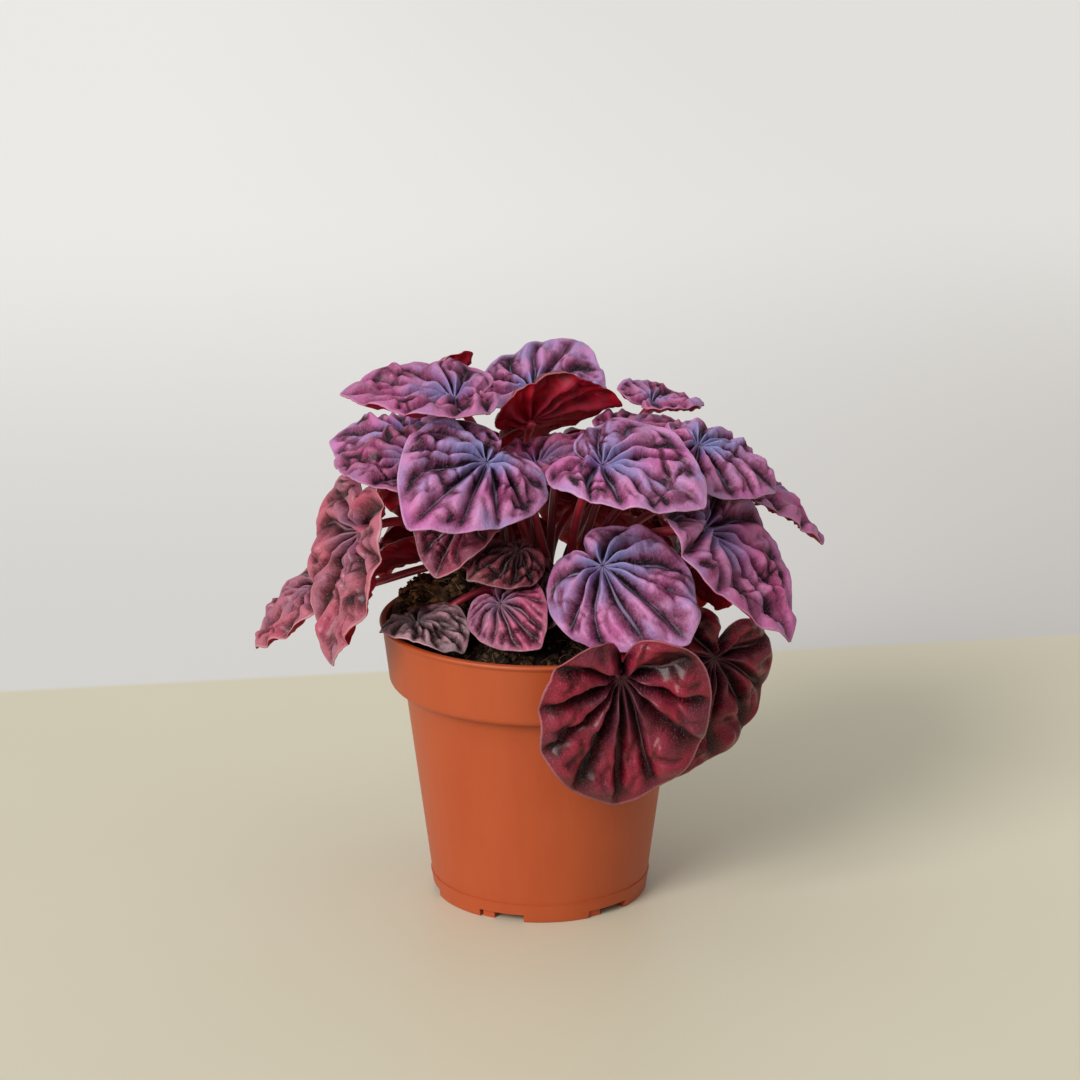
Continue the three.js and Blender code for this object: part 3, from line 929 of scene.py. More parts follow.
    def petiole(self, tree: Tree) -> Patch:
        """Grow the petiole along its path.

        Args:
            tree: The Geometry Nodes tree that makes a petiole.

        Returns:
            The petiole as a patch with the third finish.
        """
        path = self.petiole_path() * MM
        line = bpy.data.meshes.new("petiole_path")
        line.from_pydata(path, [(i, i + 1) for i in range(len(path) - 1)], [])
        usual_length, slim_share = 50, 0.25
        slim = 1 - slim_share + slim_share * self.length / usual_length
        mesh = grown(tree, line, {"Radius": PETIOLE_RADIUS * MM * slim})
        return Patch.of_mesh(mesh, 2, ["along"])

    def build(self, finishes: Sequence[Material], tree: Tree) -> Piece:
        """Build the leaf as one piece.

        Args:
            finishes: Materials of the upper face, the lower face and the petiole.
            tree: The Geometry Nodes tree that makes a petiole.

        Returns:
            The piece.
        """
        patches = [*self.blade(), self.petiole(tree)]
        mesh = mesh_of(f"quilted_{self.name}", patches, finishes)
        seam = bmesh.new()
        seam.from_mesh(mesh)
        bmesh.ops.remove_doubles(seam, verts=seam.verts, dist=1e-7)
        seam.to_mesh(mesh)
        seam.free()
        return piece_of(mesh.name, mesh, self.tint.value.slot, f"leaf_{self.name}")


class Plant:
    """The leaves, the crown that they grow from, and their finishes."""

    def __init__(self, effects: Effects) -> None:
        """Make the finishes and the petioles' tree.

        Args:
            effects: The shared shader groups.
        """
        self.effects = effects
        self.blades = {tint: tint.value.dressed(tint.name.lower(), effects) for tint in Tint}
        self.underside = self._underside()
        self.stem = self._stem()
        self.petiole_tree = self._petiole_tree()

    def _underside(self) -> Material:
        """Make the deep red, velvety lower face of the blades."""
        finish = Finish("underside", self.effects, Specular_IOR_Level=0.2)
        flat = finish.flat()
        tone = finish.mottled(flat, 160.0, colour("A81126"), "660A1A", 0.8)
        veins = finish.graph.step(0.05, 0.4, finish.value("height"), 0.5, 0.0)
        finish.paint("Base Color", finish.graph.mix(veins, tone, colour("A83048")))
        finish.grained(flat, 2200.0, 0.04, 0.5, 0.62)
        return finish.material

    def _stem(self) -> Material:
        """Make the petioles' red, darker towards their feet."""
        finish = Finish("petiole", self.effects, Coat_Weight=0.25, Coat_Roughness=0.25)
        place = finish.place()
        higher = finish.graph.step(0.1, 0.8, finish.value("along"))
        tone = finish.graph.mix(higher, colour("561220"), colour("B42C3E"))
        finish.paint("Base Color", finish.mottled(place, 260.0, tone, "7C1830", 0.6))
        finish.grained(place, 1800.0, 0.04, 0.34, 0.48)
        return finish.material

    @staticmethod
    def _petiole_tree() -> Tree:
        """Build the tree that makes a petiole round a path, wider at its foot and under the hub."""
        inputs = {"Path": "Geometry", "Radius": PETIOLE_RADIUS * MM, "Foot Flare": 0.3,
                  "Hub Flare": 0.45, "Sides": 14}
        outputs = {"Petiole": "Geometry"}
        graph, given, result = new_group("petiole", "GeometryNodeTree", inputs, outputs)
        curve = graph.out("GeometryNodeMeshToCurve", "Curve", {"Mesh": given["Path"]})
        factor = graph.out("GeometryNodeSplineParameter", "Factor")
        inputs = {"Geometry": curve, "Name": "along", "Value": factor}
        marked = graph.out("GeometryNodeStoreNamedAttribute", "Geometry", inputs)
        foot_zone, hub_zone = (0.0, 0.22), (0.9, 1.0)
        foot = graph.math("MULTIPLY", graph.step(*foot_zone, factor, 1.0, 0.0), given["Foot Flare"])
        hub = graph.math("MULTIPLY", graph.step(*hub_zone, factor), given["Hub Flare"])
        width = graph.math("ADD", graph.math("ADD", foot, hub), 1.0)
        inputs = {"Radius": given["Radius"], "Resolution": given["Sides"]}
        ring = graph.out("GeometryNodeCurvePrimitiveCircle", "Curve", inputs)
        inputs = {"Curve": marked, "Profile Curve": ring, "Scale": width, "Fill Caps": True}
        tube = graph.out("GeometryNodeCurveToMesh", "Mesh", inputs)
        graph.end(result, "Petiole", tube)
        return graph.tree

    def crown(self) -> Piece:
        """Build the knobbly crown, with the scars of old leaves winding round it."""
        radius, low, high, sides, rows = 3.6, ROOT_LOW, 110.0, 48, 28
        dome, bluntness, narrowest = 0.4, 5, 0.02
        scar_turns, scar_rise, scar_deep, shade = 2.5, 1.1, 0.14, 0.4
        profile = [(0.0, low)]
        for row in range(rows + 1):
            height = low + (high - dome - low) * row / rows
            share = max(1 - (row / rows) ** bluntness, narrowest)
            profile.append((radius * math.sqrt(share), height))
        profile.append((0.0, high))
        patch = spun(profile, sides)
        turn = np.arctan2(patch.points[:, 1], patch.points[:, 0])
        scars = np.sqrt(np.abs(np.sin(scar_turns * turn + patch.points[:, 2] * scar_rise)))
        patch.points[:, :2] *= (1 - scar_deep + scar_deep * scars)[:, None]
        patch.values["along"] = (patch.points[:, 2] - low) / (high - low) * shade
        return piece_of("crown_stem", mesh_of("crown_stem", [patch], [self.stem]), "crown", "crown")

    def build(self, leaves: Sequence[Leaf]) -> None:
        """Build the crown and every leaf.

        Args:
            leaves: The leaves.
        """
        self.crown()
        for leaf in leaves:
            leaf.build([self.blades[leaf.tint], self.underside, self.stem], self.petiole_tree)


# Pot


@dataclass
class Pot:
    """The moulded nursery pot, with a deep band under its lip and notches in its foot."""

    effects: Effects
    height: float = 96.0
    lip_radius: float = 54.0
    lip_tall: float = 1.6
    band_top: float = 53.3
    band_low: float = 50.6
    band_foot: float = 74.0
    band_rounding: float = 2.6
    wall_top: float = 46.0
    foot_radius: float = 36.5
    foot_tall: float = 6.4
    foot_ring: float = 2.6
    wall: float = 1.6
    floor_low: float = 3.0
    floor_high: float = 4.6
    edge: float = 0.5
    bevel: float = 0.3
    # How far out from the wall, and how far over the foot's top, the points of its bead are
    foot_seam: tuple = ((-0.03, -0.1), (0.12, 0.0), (0.1, 0.15), (-0.28, 0.25))
    wall_inset: float = 0.25
    under_band: float = 0.8
    fillet: float = 1.2
    band_levels: tuple[float, ...] = (80.0, 84.0, 88.0, 92.0)
    wall_levels: tuple[float, ...] = (60.0, 45.0, 30.0, 15.0)
    sides: int = 216

    def band_radius(self, z: float) -> float:
        """Return the band's outer radius at a height."""
        tall = self.height - self.band_foot
        return self.band_low + (self.band_top - self.band_low) * (z - self.band_foot) / tall

    def wall_radius(self, z: float) -> float:
        """Return the wall's outer radius at a height."""
        return self.foot_radius + (self.wall_top - self.foot_radius) * z / self.band_foot

    def profile(self) -> list[tuple[float, float]]:
        """Draw the pot's section, from the middle of its underside to the middle of its floor."""
        inside_foot = self.foot_radius - self.foot_ring
        seam = self.wall_radius(self.foot_tall)
        rounding = self.band_foot + self.band_rounding
        middle = self.band_radius(rounding) - self.band_rounding
        lip_low = self.height - self.lip_tall
        bead, edge, bevel, under = self.lip_tall / 2, self.edge, self.bevel, self.under_band
        lip_inset, lip_drop, under_out = 0.45, 0.05, 0.55
        points = [(0.0, self.floor_low), (inside_foot - edge, self.floor_low)]
        points += [(inside_foot, self.floor_low - edge), (inside_foot, bevel)]
        points += [(inside_foot + bevel, 0.0)]
        points += arc((self.foot_radius - edge, edge), edge, -90, 0, 4)
        points += [(seam + out, self.foot_tall + up) for out, up in self.foot_seam]
        levels = np.linspace(self.foot_tall + 2, self.band_foot - 1, 8)
        points += [(self.wall_radius(z) - self.wall_inset, z) for z in levels]
        points += arc((self.wall_top + under_out, self.band_foot - under), under, 180, 90, 4)
        points += arc((middle, rounding), self.band_rounding, -90, 0, 8)
        points += [(self.band_radius(z), z) for z in (*self.band_levels, lip_low - bevel)]
        points += [(self.lip_radius - lip_inset, lip_low - lip_drop)]
        points += arc((self.lip_radius - bead, lip_low + bead), bead, -60, 90, 8)
        points += arc((self.band_top - self.wall + edge, self.height - edge), edge, 90, 180, 4)
        levels = (*self.band_levels[::-1], rounding + 1)
        points += [(self.band_radius(z) - self.wall, z) for z in levels]
        points += [(self.wall_top - self.wall, self.band_foot)]
        levels = (*self.wall_levels, self.floor_high + self.fillet)
        points += [(self.wall_radius(z) - self.wall, z) for z in levels]
        points += [(self.wall_radius(self.floor_high) - self.wall - self.fillet, self.floor_high)]
        return [*points, (0.0, self.floor_high)]

    def openings_tree(self) -> Tree:
        """Build the tree that cuts the foot's notches and the drain holes."""
        inputs = {
            "Pot": "Geometry", "Count": 6, "Foot Radius": self.foot_radius * MM,
            "Notch Width": 9.0 * MM, "Notch Height": 2.7 * MM, "Notch Angle": math.radians(25),
            "First Angle": math.radians(-111), "Lug Angle": math.radians(7),
            "Lug Setback": 1.0 * MM, "Drain Radius": 3.0 * MM, "Drain Ring": 25.0 * MM,
        }
        outputs = {"Pot": "Geometry"}
        graph, given, result = new_group("pot_openings", "GeometryNodeTree", inputs, outputs)

        def sector(radius: object, start: object, sweep: object, tall: object) -> Socket:
            """Make a bent bar along the foot, half of it below the ground."""
            inputs = {"Resolution": 20, "Radius": radius, "Start Angle": start,
                      "Sweep Angle": sweep}
            path = graph.out("GeometryNodeCurveArc", "Curve", inputs)
            inputs = {"Width": given["Notch Width"], "Height": graph.math("MULTIPLY", tall, 2.0)}
            section = graph.out("GeometryNodeCurvePrimitiveQuadrilateral", "Curve", inputs)
            inputs = {"Curve": path, "Profile Curve": section, "Fill Caps": True}
            return graph.out("GeometryNodeCurveToMesh", "Mesh", inputs)

        start = graph.math("MULTIPLY_ADD", given["Notch Angle"], -0.5, given["First Angle"])
        notch = sector(given["Foot Radius"], start, given["Notch Angle"], given["Notch Height"])
        half = graph.math("MULTIPLY", given["Notch Width"], 0.5)
        reach = graph.math("SUBTRACT", given["Foot Radius"], half)
        lug_radius = graph.math("SUBTRACT", reach, given["Lug Setback"])
        lug_start = graph.math("MULTIPLY_ADD", given["Lug Angle"], 0.15, start)
        lug_tall = graph.math("MULTIPLY", given["Notch Height"], 1.4)
        lug = sector(lug_radius, lug_start, given["Lug Angle"], lug_tall)
        boolean = {"operation": "DIFFERENCE", "solver": "EXACT"}
        inputs = {"Mesh 1": notch, "Mesh 2": lug}
        cutter = graph.out("GeometryNodeMeshBoolean", "Mesh", inputs, **boolean)
        inputs = {"Vertices": 32, "Radius": given["Drain Radius"], "Depth": 0.02}
        drain = graph.add("GeometryNodeMeshCylinder", inputs)
        aside = graph.out("ShaderNodeCombineXYZ", "Vector", {"X": given["Drain Ring"]})
        inputs = {"Geometry": drain.outputs["Mesh"], "Translation": aside}
        moved = graph.out("GeometryNodeTransform", "Geometry", inputs)
        both = graph.add("GeometryNodeJoinGeometry")
        graph.feed(both.inputs[0], cutter)
        graph.feed(both.inputs[0], moved)
        points = graph.out("GeometryNodePoints", "Points", {"Count": given["Count"]})
        index = graph.out("GeometryNodeInputIndex", "Index")
        turn = graph.math("MULTIPLY", graph.math("DIVIDE", index, given["Count"]), 2 * math.pi)
        rotation = graph.out("ShaderNodeCombineXYZ", "Vector", {"Z": turn})
        inputs = {"Points": points, "Instance": both.outputs["Geometry"], "Rotation": rotation}
        copies = graph.out("GeometryNodeInstanceOnPoints", "Instances", inputs)
        cutters = graph.out("GeometryNodeRealizeInstances", "Geometry", {"Geometry": copies})
        inputs = {"Mesh 1": given["Pot"], "Mesh 2": cutters}
        cut = graph.out("GeometryNodeMeshBoolean", "Mesh", inputs, **boolean)
        graph.end(result, "Pot", cut)
        return graph.tree

    def plastic(self) -> Material:
        """Make the satin orange plastic, with flow streaks and a fine moulded grain."""
        finish = Finish("orange_plastic", self.effects, Specular_IOR_Level=0.35)
        place = finish.place()
        inputs = {"Vector": place, "Scale": (1.0, 1.0, 0.12)}
        stretched = finish.graph.out("ShaderNodeMapping", "Vector", inputs)
        streaks = finish.mottled(stretched, 90.0, colour("AD4C25"), "A5431E", 0.5)
        finish.paint("Base Color", finish.mottled(place, 22.0, streaks, "B4562C", 0.35))
        finish.grained(place, 1500.0, 0.018, 0.44, 0.54)
        return finish.material

    def build(self) -> Piece:
        """Build the pot as one piece.

        Returns:
            The piece.
        """
        solid = mesh_of("solid_pot", [spun(self.profile(), self.sides)], [])
        mesh = grown(self.openings_tree(), solid, {})
        mesh.name = "moulded_pot"
        mesh.materials.clear()
        mesh.materials.append(self.plastic())
        mesh.polygons.foreach_set("material_index", [0] * len(mesh.polygons))
        mesh.polygons.foreach_set("use_smooth", [True] * len(mesh.polygons))
        mesh.set_sharp_from_angle(angle=math.radians(38))
        return piece_of("moulded_pot", mesh, "pot", "pot")


# Peat


@dataclass(frozen=True)
class Litter:
    """Loose bits of one kind on the peat.

    Clear is how many rings of the peat's mesh stay clear of them, along the pot's wall. Sizes are
    the smallest and the largest. Uneven is how lumpy a crumb is, or a fibre's radius as a share of
    its length, and flatness is a bit's height as a share of its width. The last three are the
    darker and the lighter colour, and the depth of the grain in millimetres.
    """

    name: str
    count: int
    clear: int
    sizes: tuple[float, float]
    uneven: float
    flatness: float
    seed: int
    dark: str
    light: str
    grain: float


CRUMBS = Litter("peat_crumbs", 2600, 3, (0.3, 1.5), 1.1, 0.65, 11, "20130C", "B08458", 0.3)
FIBRES = Litter("root_fibres", 900, 8, (2.5, 8.0), 0.018, 0.8, 23, "7A5A3C", "E0CCA8", 0.05)
# Height, wavelength, seed and number of the waves that make the peat rough
ROUGH = ((0.75, 11, 71, 7), (0.6, 5, 72, 11), (0.4, 2.4, 73, 13))


@dataclass
class Peat:
    """The peat mounded round the crown, with crumbs and root fibres on it."""

    pot: Pot
    edge: float = 85.0
    rise: float = 19.0
    level: float = 10.0
    slope: float = 36.0
    lump_place: tuple[float, float] = (-36.0, 8.0)
    lump_size: tuple[float, float] = (16.0, 18.0)
    lump_tall: float = 20.0
    gap: float = 0.1
    sides: int = 176
    rings: int = 64

    def height(self, x: Array, y: Array) -> Array:
        """Return the rough surface's height over points of the pot."""
        radius = np.hypot(x, y)
        away = smoothstep(self.level, self.level + self.slope, radius)
        mound = self.edge + self.rise * (1 - away)
        rough = sum(tall * waves(x, y, *wave) for tall, *wave in ROUGH)
        return mound + self.lump_tall * self.lump(x, y) + rough

    def lump(self, x: Array, y: Array) -> Array:
        """Return how much points belong to the drier lump at the left, from 0 to 1."""
        across = ((x - self.lump_place[0]) / self.lump_size[0]) ** 2
        along = ((y - self.lump_place[1]) / self.lump_size[1]) ** 2
        return np.exp(-((across + along) ** 2))

    def tone(self, x: Array, y: Array, own: Array) -> Array:
        """Return how light the peat is, from its own shade and how dry it is there."""
        dry = self.lump(x, y)
        damp, paling = 0.55, 0.25
        return own * (damp + (1 - damp) * dry) + paling * dry

    def mound(self) -> tuple[Patch, Patch]:
        """Model the top of the peat, and the body that fills the pot under it.

        Returns:
            The top alone and the whole closed body.
        """
        radius = self.pot.band_radius(self.edge) - self.pot.wall - self.gap
        turn = np.arange(self.sides) * 2 * math.pi / self.sides
        rings = []
        for share in np.linspace(1, 0, self.rings + 1)[:-1]:
            x, y = radius * share * np.cos(turn), radius * share * np.sin(turn)
            rings.append(np.column_stack((x, y, self.height(x, y))))
        middle = np.array([[0.0, 0.0, float(self.height(np.zeros(1), np.zeros(1))[0])]])
        top = Patch(np.concatenate((*rings, middle)), ring_faces(len(rings), self.sides))
        last, sides = (len(rings) - 1) * self.sides, self.sides
        top.faces += [(last + j, last + (j + 1) % sides, last + sides) for j in range(sides)]
        low = self.pot.floor_high + self.gap
        foot = self.pot.wall_radius(low) - self.pot.wall - (self.pot.fillet + self.gap)
        waist = self.pot.wall_top - self.pot.wall - self.gap
        skirt = [
            np.column_stack((reach * np.cos(turn), reach * np.sin(turn), np.full(self.sides, z)))
            for reach, z in ((foot, low), (waist, self.pot.band_foot))
        ]
        points = np.concatenate((*skirt, top.points, [[0.0, 0.0, low]]))
        shift = 2 * self.sides
        faces = [tuple(corner + shift for corner in face) for face in top.faces]
        faces += ring_faces(3, self.sides)
        below = len(points) - 1
        faces += [(below, (j + 1) % self.sides, j) for j in range(self.sides)]
        return top, Patch(points, faces)

    @staticmethod
    def _crumb(graph: Graph, uneven: Socket) -> Socket:
        """Make one lumpy crumb of unit size."""
        inputs = {"Radius": 1.0, "Subdivisions": 2}
        ball = graph.out("GeometryNodeMeshIcoSphere", "Mesh", inputs)
        place = graph.out("GeometryNodeInputPosition", "Position")
        inputs = {"Vector": place, "Scale": 1.4, "Detail": 1.0}
        lumpy = graph.out("ShaderNodeTexNoise", "Color", inputs)
        inputs = {0: lumpy, 1: (-0.5, -0.5, -0.5)}
        offset = graph.out("ShaderNodeVectorMath", 0, inputs, operation="ADD")
        inputs = {0: offset, "Scale": uneven}
        lumps = graph.out("ShaderNodeVectorMath", 0, inputs, operation="SCALE")
        inputs = {"Geometry": ball, "Offset": lumps}
        return graph.out("GeometryNodeSetPosition", "Geometry", inputs)

    @staticmethod
    def _fibre(graph: Graph, uneven: Socket) -> Socket:
        """Make one bent root fibre of unit length."""
        bend = {"Start": (-0.5, 0.0, 0.0), "Middle": (0.05, 0.45, 0.3), "End": (0.5, -0.1, 0.1)}
        inputs = {"Resolution": 7, **bend}
        path = graph.out("GeometryNodeCurveQuadraticBezier", "Curve", inputs)
        ring = graph.add("GeometryNodeCurvePrimitiveCircle", {"Radius": uneven, "Resolution": 4})
        inputs = {"Curve": path, "Profile Curve": ring.outputs["Curve"], "Fill Caps": True}
        return graph.out("GeometryNodeCurveToMesh", "Mesh", inputs)

    @staticmethod
    def _scatter_tree(litter: Litter, bit: Callable[[Graph, Socket], Socket]) -> Tree:
        """Build a tree that strews bits over the peat.

        Args:
            litter: The kind of bits.
            bit: Makes one bit of unit size.

        Returns:
            The tree.
        """
        smallest, largest = (size * MM for size in litter.sizes)
        inputs = {"Ground": "Geometry", "Density": 1.0, "Smallest": smallest, "Largest": largest,
                  "Uneven": litter.uneven, "Flatness": litter.flatness, "Seed": litter.seed}
        outputs = {"Bits": "Geometry"}
        graph, given, result = new_group(litter.name, "GeometryNodeTree", inputs, outputs)
        inputs = {"Mesh": given["Ground"], "Density": given["Density"], "Seed": given["Seed"]}
        spread = graph.add("GeometryNodeDistributePointsOnFaces", inputs)
        tip = 0.6
        inputs = {0: (-tip, -tip, 0.0), 1: (tip, tip, 2 * math.pi), "Seed": given["Seed"]}
        turn = graph.add("FunctionNodeRandomValue", inputs, data_type="FLOAT_VECTOR")
        inputs = {2: given["Smallest"], 3: given["Largest"]}
        size = graph.out("FunctionNodeRandomValue", 1, inputs)
        low = graph.math("MULTIPLY", size, given["Flatness"])
        scale = graph.out("ShaderNodeCombineXYZ", "Vector", {"X": size, "Y": size, "Z": low})
        inputs = {"Points": spread.outputs["Points"], "Instance": bit(graph, given["Uneven"]),
                  "Rotation": turn.outputs[0], "Scale": scale}
        strewn = graph.out("GeometryNodeInstanceOnPoints", "Instances", inputs)
        tone = graph.out("FunctionNodeRandomValue", 1, {2: 0.0, 3: 1.0, "Seed": 5})
        inputs = {"Geometry": strewn, "Name": "tone", "Value": tone}
        marked = graph.add("GeometryNodeStoreNamedAttribute", inputs, domain="INSTANCE")
        graph.end(result, "Bits", marked.outputs["Geometry"])
        return graph.tree

    def earth(self, name: str, dark: str, light: str, grain: float) -> Material:
        """Make a rough, dry brown.

        Args:
            name: Name of the material.
            dark: Its darker colour.
            light: Its lighter colour.
            grain: Depth of its grain, in millimetres.

        Returns:
            The material.
        """
        finish = Finish(name, self.pot.effects, Specular_IOR_Level=0.25)
        place = finish.place()
        lighter = finish.graph.step(0.2, 1.0, finish.value("tone"))
        base = finish.graph.mix(lighter, colour(dark), colour(light))
        finish.paint("Base Color", finish.mottled(place, 320.0, base, "140C08", 0.55))
        rough = finish.graph.noise(place, 900.0, 5.0, 0.7)
        finish.paint("Roughness", finish.graph.step(0.2, 0.8, rough, 0.85, 0.98))
        finish.paint("Normal", finish.bump(rough, grain))
        return finish.material

    def build(self) -> None:
        """Build the mound, its crumbs and its fibres."""
        top, body = self.mound()
        x, y = body.points[:, 0], body.points[:, 1]
        shade, shade_change = 0.45, 0.3
        body.values["tone"] = self.tone(x, y, shade + shade_change * waves(x, y, 9, 74))
        soil = self.earth("peat", "22130E", "8C6A50", 0.5)
        piece_of("peat_mound", mesh_of("peat_mound", [body], [soil]), "soil", "soil")
        area = math.pi * (self.pot.band_radius(self.edge) * MM) ** 2
        for litter, bit in ((CRUMBS, self._crumb), (FIBRES, self._fibre)):
            faces = [face for face in top.faces if min(face) >= litter.clear * self.sides]
            ground = mesh_of("ground", [Patch(top.points, faces)], [])
            mesh = grown(self._scatter_tree(litter, bit), ground, {"Density": litter.count / area})
            patch = Patch.of_mesh(mesh, 0, ["tone"])
            x, y = patch.points[:, 0], patch.points[:, 1]
            patch.values["tone"] = self.tone(x, y, patch.values["tone"])
            finish = self.earth(litter.name, litter.dark, litter.light, litter.grain)
            piece_of(litter.name, mesh_of(litter.name, [patch], [finish]), "soil")


# Studio


@dataclass
class Studio:
    """The camera, the pale table and the soft light."""

    effects: Effects
    distance: float = 1100.0
    look_at: float = 122.65
    pitch: float = 16.49
    lens: float = 109.75
    table_edge: float = 235.0
    table_turn: float = 9.4
    table_edge_soft: float = 3.0
    floor_reach: float = 6000.0
    sensor: float = 36.0
    window_heading: float = -37.0
    window_height: float = 30.0
    window_width: float = 28.0
    window_light: float = 2.6
    room_light: float = 0.34
    ceiling_light: float = 0.49
    room_falloff: float = 0.12

    def camera(self) -> None:
        """Set the camera where the photograph was taken from."""
        data = bpy.data.cameras.new("camera")
        data.lens = self.lens
        data.sensor_width = self.sensor
        camera = placed("camera", data)
        pitch = math.radians(self.pitch)
        back, high = self.distance * math.cos(pitch), self.distance * math.sin(pitch)
        camera.location = (0.0, -back * MM, (self.look_at + high) * MM)
        camera.rotation_euler = (math.pi / 2 - pitch, 0.0, 0.0)
        bpy.context.scene.camera = camera

    def floor(self) -> None:
        """Lay the beige table, and beyond its far edge the pale grey with painted light and shade.
        """
        reach = self.floor_reach
        around = ((-1, -1), (1, -1), (1, 1), (-1, 1))
        corners = np.array([[x * reach, y * reach, 0] for x, y in around])
        finish = Finish("table", self.effects, Specular_IOR_Level=0.4)
        graph = finish.graph
        turn = (0.0, 0.0, math.radians(-self.table_turn))
        turned = graph.add("ShaderNodeMapping", {"Vector": finish.place(), "Rotation": turn})
        along = graph.add("ShaderNodeSeparateXYZ", {"Vector": turned.outputs["Vector"]})
        edge = self.table_edge * math.cos(math.radians(self.table_turn)) * MM
        soft = self.table_edge_soft * MM
        beyond = graph.step(edge - soft, edge + soft, along.outputs["Y"])
        beige = finish.mottled(finish.place(), 3.0, colour("D2CCB6"), "CEC7AF", 0.5)
        # Painted light: the grey grows paler further beyond the table's edge.
        painted_far_light = graph.step(edge, edge + 1.0, along.outputs["Y"])
        # Painted shade: towards the right the grey goes over to a darker grey.
        aside = graph.step(-0.05, 0.5, along.outputs["X"], 0.0, 0.75)
        grey = graph.mix(painted_far_light, colour("D3D2D0"), colour("EAEAE8"))
        darker = graph.mix(painted_far_light, colour("B9B5B2"), colour("DEDDDA"))
        grey = graph.mix(aside, grey, darker)
        finish.paint("Base Color", graph.mix(beyond, beige, grey))
        finish.paint("Roughness", graph.step(0.0, 1.0, beyond, 0.42, 0.9))
        mesh = mesh_of("table", [Patch(corners, [(0, 1, 2, 3)])], [finish.material])
        placed("table", mesh)

    def sun(self) -> None:
        """Light the plant softly and low from the left."""
        data = bpy.data.lights.new("window", "SUN")
        data.angle = math.radians(self.window_width)
        data.energy = self.window_light
        data.color = colour("FCFAF8")[:3]
        lamp = placed("window", data)
        heading, height = math.radians(self.window_heading), math.radians(self.window_height)
        level = math.cos(height)
        away = Vector((math.sin(heading) * level, -math.cos(heading) * level, math.sin(height)))
        lamp.rotation_euler = away.to_track_quat("Z", "Y").to_euler()

    def room(self) -> None:
        """Surround the plant with the pale room, and show its colours as they are."""
        world = bpy.data.worlds.new("room")
        world.use_nodes = True
        background = world.node_tree.nodes["Background"]
        background.inputs["Color"].default_value = colour("F6F5F3")
        graph = Graph(world.node_tree)
        towards = graph.out("ShaderNodeTexCoord", "Generated")
        axes = graph.add("ShaderNodeSeparateXYZ", {"Vector": towards}).outputs
        above = graph.math("MAXIMUM", axes["Z"], 0.0)
        light = graph.math("MULTIPLY_ADD", above, self.ceiling_light, self.room_light)
        strength = graph.math("MULTIPLY_ADD", axes["X"], -self.room_falloff, light)
        graph.feed(background.inputs["Strength"], strength)
        bpy.context.scene.world = world
        bpy.context.scene.view_settings.view_transform = "Standard"

    def build(self) -> None:
        """Set up the camera, the table and the light."""
        self.camera()
        self.floor()
        self.sun()
        self.room()


# Small leaves have coarser meshes, and so have the leaves at the back
SMALL = {"sides": 112, "rings": 38}
BACK = {"sides": 120, "rings": 40}

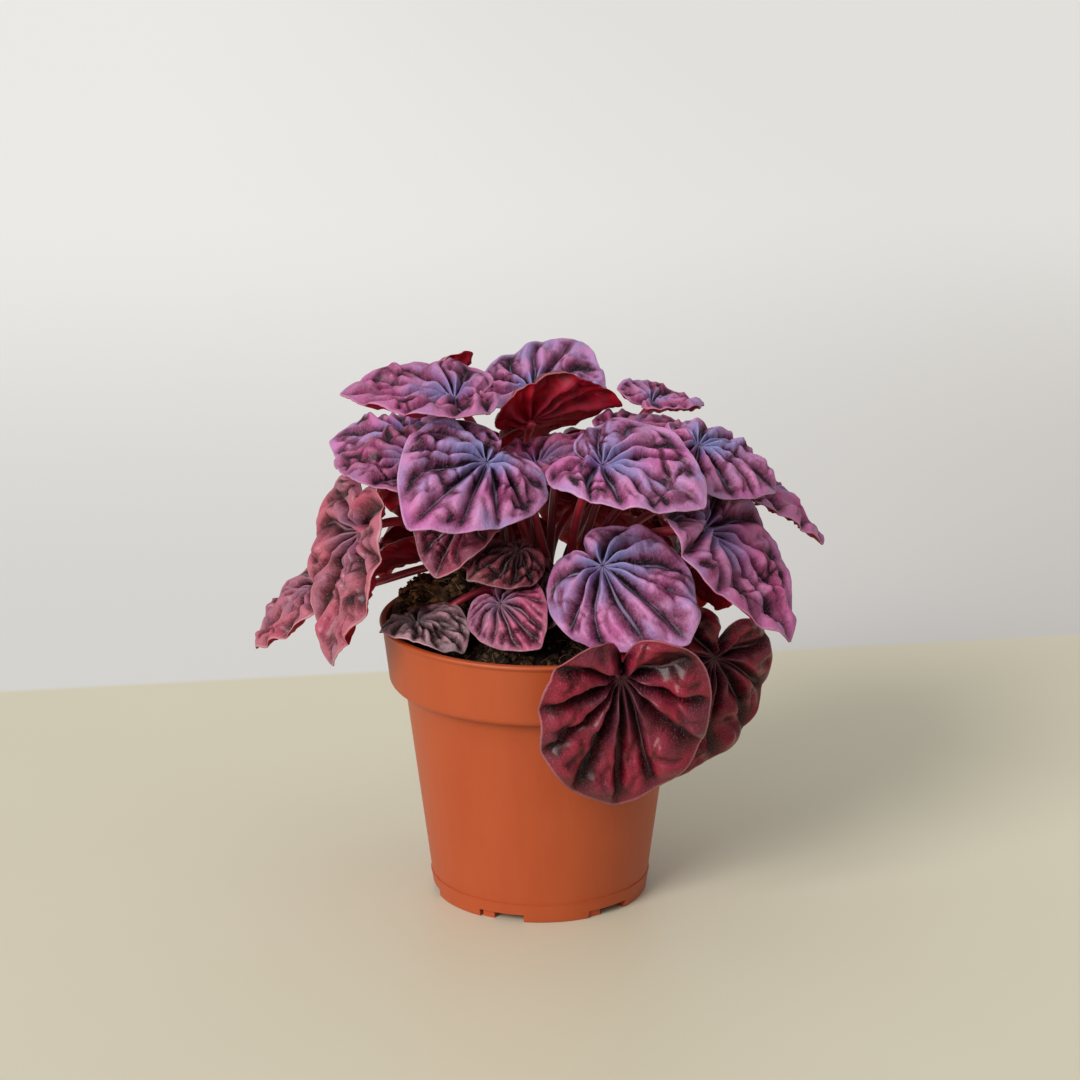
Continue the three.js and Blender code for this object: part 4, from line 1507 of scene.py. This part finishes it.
# Name, place, hub, turn, length, bend, bow and finish of each leaf
LEAVES = (
    Leaf("top_left", 2, (-28, -9, 174), (190, 0, -10), 51, (-10, 15), (0, 4), Tint.MAGENTA),
    Leaf("top_middle", 12, (-2, 42, 163), (65, -20, 10), 50, (5, 0), (0, -4), Tint.LILAC),
    Leaf("top_rear", 15, (-36, 37, 162), (30, -50, -55), 28, (15, 15), (11, -11),
         Tint.ROSE, **SMALL),
    Leaf("top_turned", 0, (-4, 7, 162), (20, -20, -45), 44, (45, 15), (0, 22), Tint.BURGUNDY),
    Leaf("top_right", 9, (38, 31, 162), (45, 5, 10), 32, (15, 20), (-6, -5), Tint.MAGENTA, **SMALL),
    Leaf("upper_right", 6, (29, 3, 160), (35, 0, 5), 32, (10, 10), (4, 4),
         Tint.MAGENTA, depth=0.5, **SMALL),
    Leaf("left_shoulder", 10, (-44, 9, 156), (150, 0, -20), 44, (25, -5), (0, 0), Tint.LILAC),
    Leaf("left_folded", 5, (-40, -18, 154), (150, -10, -15), 45, (45, 10), (-10, 10),
         Tint.MAGENTA, depth=0.3),
    Leaf("front_left", 8, (-17, -34, 159), (235, 10, -30), 53, (40, 5), (4, 4), Tint.LILAC),
    Leaf("front_middle", 3, (-1, -15, 153), (30, -15, 5), 40, (15, 5), (0, 0),
         Tint.MAGENTA, depth=0.6),
    Leaf("front_right", 11, (20, -34, 158), (330, 5, 20), 51, (30, 15), (0, 0), Tint.LILAC),
    Leaf("right_shoulder", 14, (52, -13, 159), (0, 15, 20), 43, (50, -10), (0, 0), Tint.LILAC),
    Leaf("far_right", 27, (70, 17, 139), (345, 30, -10), 46, (20, 5), (-5, 0), Tint.MAGENTA),
    Leaf("hanging_right", 19, (54, -26, 134), (325, 50, -5), 62, (-15, 15), (0, 0),
         Tint.MAGENTA, depth=0.05),
    Leaf("hanging_left", 23, (-59, -18, 131), (225, 75, 20), 62, (-5, 15), (0, 0), Tint.ROSE),
    Leaf("far_left", 31, (-75, 12, 103), (180, 40, -10), 43, (15, 10), (0, -8), Tint.ROSE),
    Leaf("inner_left", 13, (-24, -20, 137), (240, 25, -10), 34, (50, 20), (-4, -4),
         Tint.BLUSH, depth=0.75, **SMALL),
    Leaf("low_dark", 21, (-7, -27, 127), (215, 5, -20), 28, (45, -20), (-5, 0),
         Tint.SHADE, depth=1.0, **SMALL),
    Leaf("low_small", 16, (4, -24, 118), (260, 45, 20), 26, (20, -10), (0, 0),
         Tint.SHADE, depth=0.9, **SMALL),
    Leaf("big_front", 24, (20, -40, 126), (315, 20, 35), 55, (35, -15), (8, 0), Tint.LILAC, 0.45),
    Leaf("under_right", 35, (51, -11, 119), (305, 15, -55), 34, (20, -10), (5, 0),
         Tint.SHADE, depth=0.8, **SMALL),
    Leaf("low_left", 28, (-38, 10, 115), (170, 10, 30), 30, (40, 20), (0, 0), Tint.ROSE, **SMALL),
    Leaf("pot_middle", 34, (-13, -30, 110), (305, 20, 40), 30, (35, 5), (0, 0),
         Tint.BLUSH, **SMALL),
    Leaf("pot_left", 26, (-41, -20, 100), (315, -5, 10), 31, (55, 15), (0, 0), Tint.SHADE, **SMALL),
    Leaf("over_rim", 29, (26, -58, 94), (280, 110, 0), 66, (-25, 25), (11, 11),
         Tint.BURGUNDY, 0.12, blunt=0.07),
    Leaf("over_rim_right", 32, (57, -36, 93), (215, 70, -85), 56, (10, 0), (0, 0),
         Tint.BURGUNDY, 0.3, 0.2, 0.06),
    Leaf("back_top", 4, (7, 49, 141), (85, 45, 0), 50, (30, 10), (0, 0), Tint.LILAC, **BACK),
    Leaf("back_right", 17, (32, 30, 143), (60, 40, 0), 50, (30, 10), (0, 0), Tint.MAGENTA, **BACK),
    Leaf("back_left", 7, (-32, 30, 143), (125, 40, 0), 50, (30, 10), (4, 4), Tint.MAGENTA, **BACK),
    Leaf("back_low_right", 25, (14, 53, 121), (70, 50, 0), 42, (30, 10), (0, 0), Tint.ROSE, **BACK),
    Leaf("back_low", 33, (-14, 42, 112), (110, 40, 0), 46, (25, 5), (0, 0), Tint.BURGUNDY, **BACK),
    Leaf("back_side_right", 30, (42, 24, 118), (30, 50, 0), 44, (30, 10), (0, 0),
         Tint.ROSE, **BACK),
    Leaf("back_side_left", 20, (-40, 30, 119), (140, 40, 0), 40, (30, 10), (0, 0),
         Tint.ROSE, **BACK),
)


def main() -> None:
    """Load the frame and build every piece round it."""
    logging.basicConfig(level=logging.INFO, format="%(name)s: %(message)s")
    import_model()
    effects = Effects()
    Studio(effects).build()
    pot = Pot(effects)
    pot.build()
    Peat(pot).build()
    Plant(effects).build(LEAVES)


if __name__ == "__main__":
    main()
